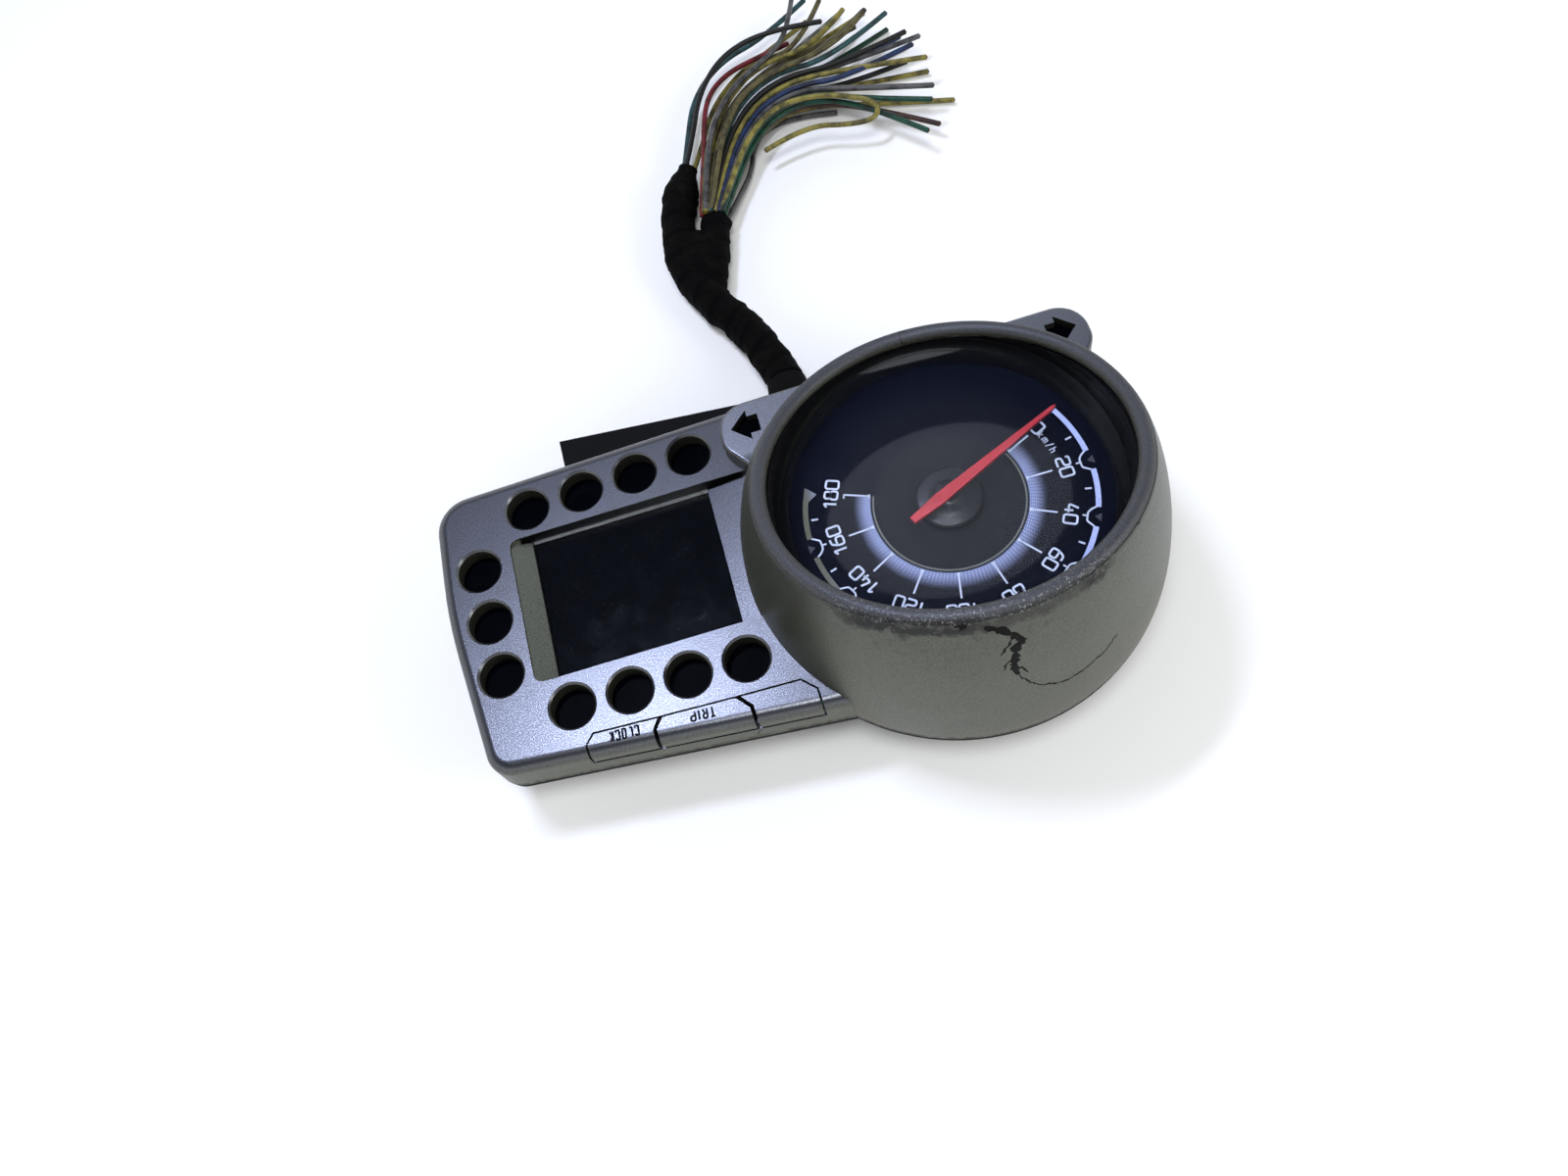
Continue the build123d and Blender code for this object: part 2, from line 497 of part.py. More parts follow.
# ------------------------------------------------------------------- harness
cord("harness_trunk", TRUNK, TRUNK_D)
stub_from, stub_to = Vector(*STUB_START), Vector(*STUB_END)
stub_plane = Plane(origin=stub_from, z_dir=stub_to - stub_from)
save("taped_stub", extrude(stub_plane * Circle(STUB_R), amount=(stub_to - stub_from).length), about_dial=False)

for i, (bend, end) in enumerate(STUB_WIRE_ENDS):
    share, layer = i / (len(STUB_WIRE_ENDS) - 1), i % 3
    z0, z1 = 4.4 + 1.9 * layer, (1.8, 5.2, 8.6)[layer]
    route = []
    for step, (a, b) in enumerate(zip(OUTER_GUIDE, INNER_GUIDE)):
        z = z0 + (z1 - z0) * step / 5
        route.append((a[0] + (b[0] - a[0]) * share, a[1] + (b[1] - a[1]) * share, z))
    route.append((bend[0], bend[1], z1))
    route.append((end[0], end[1], z1 + 0.6 * layer))
    cord(f"wire_{i + 1:02d}", route, WIRE_D)
for i, route in enumerate(LEFT_WIRES):
    cord(f"wire_{i + 13:02d}", route, WIRE_D)
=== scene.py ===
"""Looks of the motorcycle instrument cluster: finishes, dial print, wear, harness and studio."""
import json
import random
from math import cos, degrees, pi, radians, sin

import bpy
from mathutils import Matrix, Vector, noise
from mathutils.bvhtree import BVHTree


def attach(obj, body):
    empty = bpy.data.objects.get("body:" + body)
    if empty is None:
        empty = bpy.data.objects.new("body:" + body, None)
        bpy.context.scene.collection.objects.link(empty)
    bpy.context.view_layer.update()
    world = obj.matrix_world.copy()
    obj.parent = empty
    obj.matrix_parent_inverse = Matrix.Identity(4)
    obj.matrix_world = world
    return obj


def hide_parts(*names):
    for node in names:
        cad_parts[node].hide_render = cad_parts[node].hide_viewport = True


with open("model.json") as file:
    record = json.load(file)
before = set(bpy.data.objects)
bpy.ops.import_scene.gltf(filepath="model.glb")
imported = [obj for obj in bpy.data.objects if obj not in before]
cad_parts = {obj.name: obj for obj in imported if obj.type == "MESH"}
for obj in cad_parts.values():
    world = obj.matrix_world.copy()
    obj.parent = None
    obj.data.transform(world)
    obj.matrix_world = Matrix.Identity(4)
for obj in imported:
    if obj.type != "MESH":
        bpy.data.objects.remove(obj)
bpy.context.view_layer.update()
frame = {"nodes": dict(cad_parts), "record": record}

MM = 0.001
DIAL_X, DIAL_Y = 38.75, -5.5      # dial axis, in millimetres
Z_DIAL = 40.0                     # dial face
Z_RIM, RIM_SLOPE = 61.2, 0.276    # hood edge on the dial axis, and its fall towards +Y

scene = bpy.context.scene
scene.view_settings.view_transform = "Standard"


# ------------------------------------------------------------------- camera
def place_camera():
    data = bpy.data.cameras.new("camera")
    data.lens, data.sensor_width = 31.504, 36.0
    data.shift_x, data.shift_y = 0.0272, -0.0468
    data.clip_start, data.clip_end = 0.01, 20.0
    camera = bpy.data.objects.new("camera", data)
    scene.collection.objects.link(camera)
    azimuth, elevation, roll = -0.08776, 1.09163, -0.37203
    ahead = Vector((sin(azimuth) * cos(elevation), cos(azimuth) * cos(elevation), -sin(elevation)))
    side = ahead.cross(Vector((0, 0, 1))).normalized()
    over = side.cross(ahead)
    right = cos(roll) * side + sin(roll) * over
    up = cos(roll) * over - sin(roll) * side
    placed = Matrix((right, up, -ahead)).transposed().to_4x4()
    placed.translation = Vector((2.95, -149.33, 342.88)) * MM
    camera.matrix_world = placed
    scene.camera = camera


place_camera()


# ------------------------------------------------------------ mesh building
def link(obj, body="cluster"):
    scene.collection.objects.link(obj)
    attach(obj, body)
    return obj


def mesh_piece(name, verts, faces, material, body="cluster", slot=None, smooth=False):
    """A mesh piece from millimetre points."""
    mesh = bpy.data.meshes.new(name)
    mesh.from_pydata([Vector(v) * MM for v in verts], [], faces)
    mesh.validate()
    mesh.materials.append(material)
    if smooth:
        mesh.polygons.foreach_set("use_smooth", [True] * len(mesh.polygons))
    mesh.update()
    return link(bpy.data.objects.new(name, mesh), body)


class Solids:
    """Collects small closed prisms into one mesh."""

    def __init__(self):
        self.verts, self.faces = [], []

    def prism(self, outline, low, high):
        """Upright prism over a convex outline of plan points."""
        n, base = len(outline), len(self.verts)
        self.verts += [(x, y, low) for x, y in outline] + [(x, y, high) for x, y in outline]
        self.faces.append(tuple(base + i for i in reversed(range(n))))
        self.faces.append(tuple(base + n + i for i in range(n)))
        for i in range(n):
            j = (i + 1) % n
            self.faces.append((base + i, base + j, base + n + j, base + n + i))

    def stroke(self, points, width, low, high, closed=False):
        """Flat raised line of even width along plan points."""
        pts = [Vector(p) for p in points]
        count = len(pts)
        left, right = [], []
        for i, p in enumerate(pts):
            before = pts[i - 1] if i or closed else None
            after = pts[(i + 1) % count] if i < count - 1 or closed else None
            into = (p - before).normalized() if before is not None else None
            out = (after - p).normalized() if after is not None else None
            into, out = into or out, out or into
            along = (into + out).normalized() if (into + out).length > 1e-6 else out
            across = Vector((-along.y, along.x))
            reach = width / 2 / max(0.5, across.dot(Vector((-into.y, into.x))))
            left.append(p + across * reach)
            right.append(p - across * reach)
        base = len(self.verts)
        for a, b in zip(left, right):
            self.verts += [(a.x, a.y, low), (b.x, b.y, low), (b.x, b.y, high), (a.x, a.y, high)]
        self.join_sections(base, count, closed)

    def join_sections(self, base, count, closed=False):
        """Faces of a bar whose four-cornered sections start at vertex base; ends are capped if it is open."""
        for i in range(count if closed else count - 1):
            a, b = base + 4 * i, base + 4 * ((i + 1) % count)
            self.faces += [(a, b, b + 1, a + 1), (a + 1, b + 1, b + 2, a + 2),
                           (a + 2, b + 2, b + 3, a + 3), (a + 3, b + 3, b, a)]
        if not closed:
            last = base + 4 * (count - 1)
            self.faces += [(base, base + 1, base + 2, base + 3), (last + 3, last + 2, last + 1, last)]

    def piece(self, name, material, **options):
        return mesh_piece(name, self.verts, self.faces, material, **options)


def rounded(points, radius, closed=False):
    """Plan polyline with its corners rounded."""
    steps = 4
    pts = [Vector(p) for p in points]
    count = len(pts)
    out = []
    for i, p in enumerate(pts):
        if not closed and i in (0, count - 1):
            out.append(p)
            continue
        a, b = pts[i - 1] - p, pts[(i + 1) % count] - p
        reach = min(radius, a.length * 0.45, b.length * 0.45)
        start, end = p + a.normalized() * reach, p + b.normalized() * reach
        for k in range(steps + 1):
            t = k / steps
            out.append(start * (1 - t) ** 2 + p * (2 * t * (1 - t)) + end * t ** 2)
    return out


# ---------------------------------------------------------------- materials
class Shade:
    """A procedural material around one Principled shader."""

    def __init__(self, name, **values):
        self.material = bpy.data.materials.new(name)
        self.material.use_nodes = True
        self.tree = self.material.node_tree
        self.shader = self.tree.nodes["Principled BSDF"]
        self.output = self.tree.nodes["Material Output"]
        for key, value in values.items():
            self.shader.inputs[key.replace("_", " ")].default_value = value
        self.place = self.node("ShaderNodeTexCoord")
        scaled = self.node("ShaderNodeVectorMath", operation="SCALE")
        self.tree.links.new(self.place.outputs["Object"], scaled.inputs[0])
        scaled.inputs["Scale"].default_value = 1000.0
        self.mm = scaled.outputs[0]

    def node(self, kind, **props):
        made = self.tree.nodes.new(kind)
        for key, value in props.items():
            setattr(made, key, value)
        return made

    def put(self, socket, value):
        if isinstance(value, bpy.types.NodeSocket):
            self.tree.links.new(value, socket)
        else:
            socket.default_value = value

    def set(self, key, value):
        self.put(self.shader.inputs[key], value)

    def math(self, operation, a, b=0.0):
        made = self.node("ShaderNodeMath", operation=operation)
        self.put(made.inputs[0], a)
        self.put(made.inputs[1], b)
        return made.outputs[0]

    def times(self, product, *factors):
        for factor in factors:
            product = self.math("MULTIPLY", product, factor)
        return product

    def noise(self, scale, detail=3.0, rough=0.5, where=None, warp=0.0):
        """Noise whose scale is in features per millimetre."""
        made = self.node("ShaderNodeTexNoise")
        self.put(made.inputs["Vector"], where or self.mm)
        settings = {"Scale": scale, "Detail": detail, "Roughness": rough, "Distortion": warp}
        for key, value in settings.items():
            made.inputs[key].default_value = value
        return made.outputs["Fac"]

    def cells(self, scale, feature="F1"):
        """Distance in a pattern of cells whose scale is in cells per millimetre."""
        made = self.node("ShaderNodeTexVoronoi", feature=feature)
        self.put(made.inputs["Vector"], self.mm)
        made.inputs["Scale"].default_value = scale
        return made.outputs["Distance"]

    def ramp(self, value, low, high, to_low=0.0, to_high=1.0):
        """Smooth step from low to high."""
        made = self.node("ShaderNodeMapRange", interpolation_type="SMOOTHSTEP")
        self.put(made.inputs["Value"], value)
        limits = {"From Min": low, "From Max": high, "To Min": to_low, "To Max": to_high}
        for key, number in limits.items():
            made.inputs[key].default_value = number
        return made.outputs[0]

    def band(self, value, a, b, c, d):
        """Rises from a to b, holds to c and falls to d."""
        return self.times(self.ramp(value, a, b), self.ramp(value, c, d, 1.0, 0.0))

    def mix(self, share, a, b):
        made = self.node("ShaderNodeMix", data_type="RGBA")
        self.put(made.inputs[0], share)
        for socket, value in ((made.inputs[6], a), (made.inputs[7], b)):
            self.put(socket, value if isinstance(value, bpy.types.NodeSocket) else (*value, 1.0))
        return made.outputs[2]

    def blend(self, share, a, b):
        made = self.node("ShaderNodeMix", data_type="FLOAT")
        for socket, value in zip(made.inputs[0:1] + made.inputs[2:4], (share, a, b)):
            self.put(socket, value)
        return made.outputs[0]

    def split(self, vector):
        made = self.node("ShaderNodeSeparateXYZ")
        self.put(made.inputs[0], vector)
        return made.outputs

    def polar(self):
        """Radius and angle (degrees, -180 to 180) about the dial axis, x and y from that axis, and z."""
        x, y, z = self.split(self.mm)
        x, y = self.math("SUBTRACT", x, DIAL_X), self.math("SUBTRACT", y, DIAL_Y)
        radius = self.math("SQRT", self.math("ADD", self.times(x, x), self.times(y, y)))
        angle = self.times(self.math("ARCTAN2", y, x), degrees(1.0))
        return radius, angle, x, y, z

    def bump(self, height, distance, strength=1.0, normal=None):
        """distance is the height of a full step, in millimetres."""
        made = self.node("ShaderNodeBump")
        made.inputs["Strength"].default_value = strength
        made.inputs["Distance"].default_value = distance * MM
        self.put(made.inputs["Height"], height)
        if normal:
            self.put(made.inputs["Normal"], normal)
        return made.outputs[0]

    def let_lamps_through(self, tint):
        """Lamps reach what is behind this clear piece."""
        clear = self.node("ShaderNodeBsdfTransparent")
        clear.inputs[0].default_value = (*tint, 1.0)
        path, both = self.node("ShaderNodeLightPath"), self.node("ShaderNodeMixShader")
        self.put(both.inputs[0], path.outputs["Is Shadow Ray"])
        self.put(both.inputs[1], self.shader.outputs[0])
        self.put(both.inputs[2], clear.outputs[0])
        self.put(self.output.inputs["Surface"], both.outputs[0])


def hood_wear(s, radius, angle, y, z, coarse, fine):
    """Masks on the hood: matt crest, abrasion, the grime below it, and paint rubbed bright, with a painted
    highlight on it.
    """
    edge = s.math("SUBTRACT", z, s.math("SUBTRACT", Z_RIM, s.times(y, RIM_SLOPE)))   # height above the edge
    near_rim = s.times(s.ramp(radius, 40.0, 41.0), s.ramp(z, 38.0, 44.0))
    ridge = s.times(s.ramp(edge, -1.6, 0.2), near_rim)
    front = s.band(angle, -150.0, -132.0, -64.0, -50.0)
    crest = s.band(edge, -7.0, -2.2, 0.6, 1.8)
    grit = s.math("ADD", s.times(coarse, 0.72), s.times(fine, 0.28))
    zone = s.times(front, crest, near_rim)
    scuffed = s.ramp(s.math("ADD", grit, s.times(zone, 0.24)), 0.60, 0.74)
    worst_left = s.band(angle, -140.0, -128.0, -104.0, -92.0)
    worst_right = s.band(angle, -70.0, -66.0, -62.0, -58.0)
    scuffed = s.times(scuffed, zone, s.blend(s.math("MAXIMUM", worst_left, worst_right), 0.6, 1.0))
    run_down = s.times(s.band(angle, -142.0, -128.0, -84.0, -74.0), s.band(edge, -16.0, -7.0, -2.0, 0.0))
    grimy = s.times(s.ramp(coarse, 0.50, 0.70), run_down, near_rim, 0.55)
    # paler paint on the front of the crest: rubbed paint, and a painted highlight where the crest catches the
    # light
    rubbed_and_highlight = s.times(s.ramp(fine, 0.54, 0.64), s.band(edge, -1.4, 0.0, 1.6, 2.2), front, near_rim)
    return ridge, scuffed, grimy, rubbed_and_highlight


def handling_marks(s, coarse, cloud):
    """Masks of fine rub marks and of small nicks."""
    stretched = s.node("ShaderNodeMapping")
    s.put(stretched.inputs["Vector"], s.mm)
    stretched.inputs["Scale"].default_value = (0.08, 1.6, 0.5)
    stretched.inputs["Rotation"].default_value = (0.0, 0.0, 0.35)
    hair = s.ramp(s.noise(1.0, 4.0, 0.6, stretched.outputs[0]), 0.66, 0.72)
    wear = s.times(hair, s.ramp(coarse, 0.5, 0.62))
    nick = s.times(s.ramp(s.cells(0.085), 0.035, 0.05, 1.0, 0.0), s.ramp(cloud, 0.52, 0.6))
    return wear, nick


def window_surround(s, x, y, z, up):
    """Masks of the lobe tops and the shelf beside the window, both painted paler as painted light, and of the
    near-black far wall of the window.
    """
    # painted light: the flat tops of the lobes are painted paler, as if light falls on them
    lobe_top_painted_light = s.times(s.ramp(y, 30.0, 32.0), s.band(z, 35.0, 35.5, 36.2, 36.6), s.ramp(up, 0.9, 0.98))
    lobe_top_painted_light = s.times(lobe_top_painted_light, s.ramp(s.math("ABSOLUTE", x), 24.0, 26.0))
    # painted light: the sloping shelf left of the window is painted a paler olive tone
    shelf_painted_light = s.times(s.band(x, -111.5, -111.0, -105.6, -105.2), s.band(y, -10.9, -10.6, 30.3, 30.6))
    shelf_painted_light = s.times(shelf_painted_light, s.ramp(z, 29.2, 29.0), s.ramp(z, 26.6, 27.0))
    # near-black band on the window's far wall and along its foot
    dark_far_wall = s.times(s.band(y, 29.3, 29.6, 30.45, 30.55), s.band(x, -108.5, -108.0, -47.5, -46.0))
    dark_far_wall = s.times(dark_far_wall, s.ramp(z, 29.5, 29.7, 1.0, 0.0))
    return lobe_top_painted_light, shelf_painted_light, dark_far_wall


def silver_paint():
    """Metallic paint with flake, dirt, handling marks, the abrasion round the front of the hood, and painted
    light.
    """
    s = Shade("silver_paint", Metallic=0.85)
    radius, angle, x, y, z = s.polar()
    up = s.split(s.place.outputs["Normal"])[2]
    upward = s.ramp(up, 0.1, 0.9)
    flake = s.noise(3.2, 2.0, 0.6)
    cloud = s.noise(0.05, 3.0, 0.55)
    coarse = s.noise(0.32, 5.0, 0.68)
    fine = s.noise(1.6, 5.0, 0.7)
    # painted light: walls take an olive tone and upward faces a bluish one, as the light falls on them
    wall = s.mix(cloud, (0.076, 0.080, 0.053), (0.100, 0.104, 0.071))
    top = s.mix(cloud, (0.066, 0.070, 0.084), (0.084, 0.089, 0.106))
    colour = s.mix(upward, wall, top)
    between_flakes = s.mix(0.22, colour, (0.02, 0.02, 0.023))
    bright_flake = s.mix(0.10, colour, (0.42, 0.42, 0.46))
    colour = s.mix(s.ramp(flake, 0.30, 0.72), between_flakes, bright_flake)

    ridge, scuffed, grimy, rubbed_and_highlight = hood_wear(s, radius, angle, y, z, coarse, fine)
    wear, nick = handling_marks(s, coarse, cloud)
    lobe_top_painted_light, shelf_painted_light, dark_far_wall = window_surround(s, x, y, z, up)
    foot = s.times(s.ramp(z, 18.2, 20.5, 1.0, 0.0), s.ramp(coarse, 0.35, 0.6))   # dirt in the parting line
    film = s.ramp(s.noise(0.12, 5.0, 0.6), 0.55, 0.75)
    dull = s.times(s.ramp(z, 17.0, 60.0, 0.5, 0.1), film, s.ramp(radius, 46.0, 47.0))
    for mask, strength, tone in (
            (ridge, 0.25, (0.022, 0.023, 0.024)), (wear, 0.3, (0.22, 0.225, 0.235)),
            (dull, 0.6, (0.06, 0.059, 0.046)), (foot, 0.5, (0.025, 0.024, 0.02)),
            (grimy, 1.0, (0.022, 0.021, 0.018)), (scuffed, 1.0, (0.006, 0.006, 0.0055)),
            (rubbed_and_highlight, 0.45, (0.40, 0.41, 0.42)), (nick, 1.0, (0.03, 0.03, 0.03)),
            (lobe_top_painted_light, 1.0, (0.20, 0.21, 0.25)), (shelf_painted_light, 1.0, (0.19, 0.20, 0.16)),
            (dark_far_wall, 1.0, (0.003, 0.003, 0.004))):
        colour = s.mix(s.times(mask, strength), colour, tone)
    s.set("Base Color", colour)

    sparkle = s.ramp(flake, 0.3, 0.7)
    rough = s.blend(upward, s.blend(sparkle, 0.46, 0.38), s.blend(sparkle, 0.33, 0.25))
    for mask, matt in ((ridge, 0.55), (scuffed, 0.8), (wear, 0.3), (s.math("MAXIMUM", foot, grimy), 0.7)):
        rough = s.blend(mask, rough, matt)
    s.set("Roughness", rough)
    s.set("Metallic", s.blend(s.math("MAXIMUM", scuffed, grimy), 0.85, 0.05))
    relief = s.math("ADD", s.times(scuffed, s.noise(1.2, 6.0, 0.75)), s.times(nick, -0.5))
    s.set("Normal", s.bump(relief, 0.5, 0.8, s.bump(flake, 0.02, 0.35)))
    return s.material


def moulded(name, colour, roughness, grain=0.04, dust=0.3, tint=(0.10, 0.095, 0.085), shine=0.3):
    """Spark-eroded moulded plastic with a little dust."""
    s = Shade(name, Specular_IOR_Level=shine)
    texture = s.noise(2.6, 4.0, 0.65)
    patch = s.noise(0.09, 4.0, 0.6)
    up = s.split(s.place.outputs["Normal"])[2]
    base = s.mix(patch, [c * 0.8 for c in colour], [min(1.0, c * 1.25) for c in colour])
    base = s.mix(s.times(s.ramp(texture, 0.4, 0.7), 0.25), base, [min(1.0, c * 1.7) for c in colour])
    dusty = s.times(s.ramp(up, 0.3, 1.0), s.ramp(patch, 0.42, 0.68), dust)
    s.set("Base Color", s.mix(dusty, base, tint))
    s.set("Roughness", s.blend(s.ramp(patch, 0.3, 0.7), roughness, min(1.0, roughness + 0.14)))
    s.set("Normal", s.bump(texture, grain, 0.6))
    return s.material


def gloss(name, colour, roughness, dust, shine=0.04):
    """Polished dark window or lens, with smears and specks."""
    s = Shade(name, Specular_IOR_Level=shine)
    smear = s.noise(0.16, 5.0, 0.62, warp=0.6)
    speck = s.times(s.ramp(s.cells(0.9), 0.07, 0.12, 1.0, 0.0), s.ramp(s.noise(0.2, 2.0), 0.5, 0.62))
    base = s.mix(s.times(s.ramp(smear, 0.5, 0.8), dust), colour, [c + 0.004 for c in colour])
    s.set("Base Color", s.mix(s.times(speck, 0.35), base, (0.10, 0.095, 0.085)))
    s.set("Roughness", s.blend(s.ramp(smear, 0.42, 0.75), roughness, roughness + 0.08))
    s.set("Normal", s.bump(s.noise(0.5, 2.0), 0.02, 0.15))
    return s.material


def metal(name, colour, roughness):
    """Bare metal, tarnished in patches."""
    s = Shade(name, Metallic=1.0)
    tarnish = s.noise(0.35, 5.0, 0.6)
    fine = s.noise(4.8, 3.0, 0.6)
    s.set("Base Color", s.mix(s.ramp(tarnish, 0.4, 0.75), colour, [c * 0.62 for c in colour]))
    s.set("Roughness", s.blend(tarnish, roughness, min(1.0, roughness + 0.25)))
    s.set("Normal", s.bump(fine, 0.02, 0.4))
    return s.material


def dial_print():
    """Dark printed dial: grey hub field, hatched halo inside the ticks and a navy outer zone."""
    s = Shade("dial_print", Specular_IOR_Level=0.02)
    radius, angle = s.polar()[:2]
    grain = s.noise(0.25, 4.0, 0.6)
    outer = s.mix(s.ramp(radius, 24.0, 36.0), (0.0035, 0.0040, 0.0070), (0.0006, 0.0012, 0.0050))
    inner = s.mix(grain, (0.0065, 0.0068, 0.0082), (0.0095, 0.0098, 0.0115))
    colour = s.mix(s.ramp(radius, 18.0, 18.2, 1.0, 0.0), outer, inner)
    colour = s.mix(s.ramp(radius, 8.4, 8.8, 0.6, 0.0), colour, (0.002, 0.002, 0.003))
    # halo of fine slanted dashes, thinning outwards, between the 0 and 180 marks
    swept = s.math("ADD", angle, s.times(radius, 6.0))
    ruled = s.math("SINE", s.times(swept, radians(150.0)))
    ringed = s.math("SINE", s.times(radius, 15.0))
    dashes = s.times(s.ramp(ruled, -0.4, 0.5), s.ramp(ringed, -0.7, 0.2))
    swept_marks = s.math("MAXIMUM", s.ramp(angle, 24.2, 24.7, 1.0, 0.0), s.ramp(angle, 157.8, 158.3))
    fade = s.times(s.ramp(radius, 18.9, 19.4), s.ramp(radius, 19.6, 23.6, 1.0, 0.0))
    halo = s.times(fade, swept_marks, s.blend(dashes, 0.35, 1.0))
    s.set("Base Color", s.mix(halo, colour, (0.34, 0.38, 0.60)))
    s.set("Roughness", s.blend(grain, 0.42, 0.55))
    return s.material


def ink(name, colour, shade=0.75, painted_shade=None):
    """Printed ink in two close tones."""
    s = Shade(name, Roughness=0.5, Specular_IOR_Level=0.06)
    tone = s.mix(s.ramp(s.noise(1.4, 4.0, 0.7), 0.35, 0.65), [c * shade for c in colour], colour)
    if painted_shade:                     # painted shade: darker towards the left of the dial, where the hood's shadow falls
        tone = s.mix(s.ramp(s.polar()[2], -34.0, -24.0, 1.0, 0.0), tone, painted_shade)
    s.set("Base Color", tone)
    s.set("Normal", s.bump(s.noise(4.0, 2.0), 0.01, 0.3))
    return s.material


def lens_plastic():
    """Clear dial lens with faint wipe marks and a painted reflection over the middle, made as a faint pale
    film.
    """
    s = Shade("clear_plastic", Transmission_Weight=1.0, IOR=1.49, Roughness=0.0)
    wiped = s.ramp(s.noise(0.25, 4.0, 0.6), 0.5, 0.8)
    s.set("Base Color", s.mix(wiped, (0.93, 0.96, 1.0), (0.88, 0.91, 0.95)))
    x, y = s.polar()[2:4]
    # painted reflection: less light passes inside this ellipse, and the rest shows as a faint pale film
    # standing for the grey sheen reflected over the dial
    across = s.math("DIVIDE", s.math("ADD", x, 1.5), 30.0)
    along = s.math("DIVIDE", s.math("ADD", y, 5.0), 22.8)
    spread = s.math("SQRT", s.math("ADD", s.times(across, across), s.times(along, along)))
    s.set("Transmission Weight", s.blend(s.ramp(spread, 0.95, 1.0, 1.0, 0.0), 0.9995, 0.989))
    s.let_lamps_through((0.94, 0.95, 0.96))
    return s.material


def needle_red():
    """Translucent red needle."""
    s = Shade("red_plastic", Subsurface_Weight=0.15, Coat_Weight=0.15, Coat_Roughness=0.15)
    s.shader.inputs["Subsurface Radius"].default_value = (0.002, 0.0005, 0.0004)
    tone = s.noise(0.4, 3.0)
    s.set("Base Color", s.mix(tone, (0.26, 0.006, 0.011), (0.36, 0.011, 0.017)))
    s.set("Roughness", s.blend(tone, 0.25, 0.4))
    return s.material


def cloth_tape():
    """Black woven harness tape with fluff and dried mud."""
    s = Shade("cloth_tape", Specular_IOR_Level=0.05)
    warp = s.node("ShaderNodeTexWave", wave_type="BANDS", bands_direction="DIAGONAL")
    weft = s.node("ShaderNodeTexWave", wave_type="BANDS", bands_direction="Y")
    for wave, scale in ((warp, 1.25), (weft, 1.0)):
        s.put(wave.inputs["Vector"], s.mm)
        wave.inputs["Scale"].default_value = scale
        wave.inputs["Distortion"].default_value = 0.6
    weave = s.math("MAXIMUM", warp.outputs["Fac"], weft.outputs["Fac"])
    patch, fluff = s.noise(0.18, 5.0, 0.65), s.noise(3.0, 4.0, 0.7)
    base = s.mix(weave, (0.0004, 0.0005, 0.0008), (0.0018, 0.0018, 0.0020))
    base = s.mix(s.times(s.ramp(patch, 0.5, 0.72), 0.5), base, (0.0085, 0.0072, 0.0050))
    s.set("Base Color", s.mix(s.times(s.ramp(fluff, 0.62, 0.75), 0.3), base, (0.012, 0.011, 0.0095)))
    s.set("Roughness", s.blend(patch, 0.78, 0.95))
    s.set("Normal", s.bump(patch, 0.5, 0.5, s.bump(s.math("ADD", weave, fluff), 0.12, 0.7)))
    return s.material


def wire_skin(name, colour):
    """PVC wire insulation, dulled by grease and dust."""
    s = Shade(name, Specular_IOR_Level=0.3)
    grime = s.noise(0.22, 5.0, 0.65)
    fine = s.noise(2.5, 3.0, 0.6)
    clean, greasy = [c * 0.8 for c in colour], [c * 0.18 + 0.003 for c in colour]
    base = s.mix(s.ramp(grime, 0.40, 0.64), clean, greasy)
    s.set("Base Color", s.mix(s.times(s.ramp(fine, 0.6, 0.75), 0.4), base, (0.014, 0.013, 0.010)))
    s.set("Roughness", s.blend(grime, 0.34, 0.62))
    s.set("Normal", s.bump(s.math("ADD", grime, fine), 0.08, 0.4))
    return s.material


def board_mask():
    """Green solder mask with paler tracks."""
    s = Shade("board", Coat_Weight=0.3, Coat_Roughness=0.2)
    tracks = s.ramp(s.cells(0.35, "DISTANCE_TO_EDGE"), 0.04, 0.08)
    s.set("Base Color", s.mix(tracks, (0.05, 0.20, 0.06), (0.012, 0.085, 0.028)))
    s.set("Roughness", s.blend(tracks, 0.32, 0.45))
    s.set("Normal", s.bump(tracks, 0.05, 0.5))
    return s.material


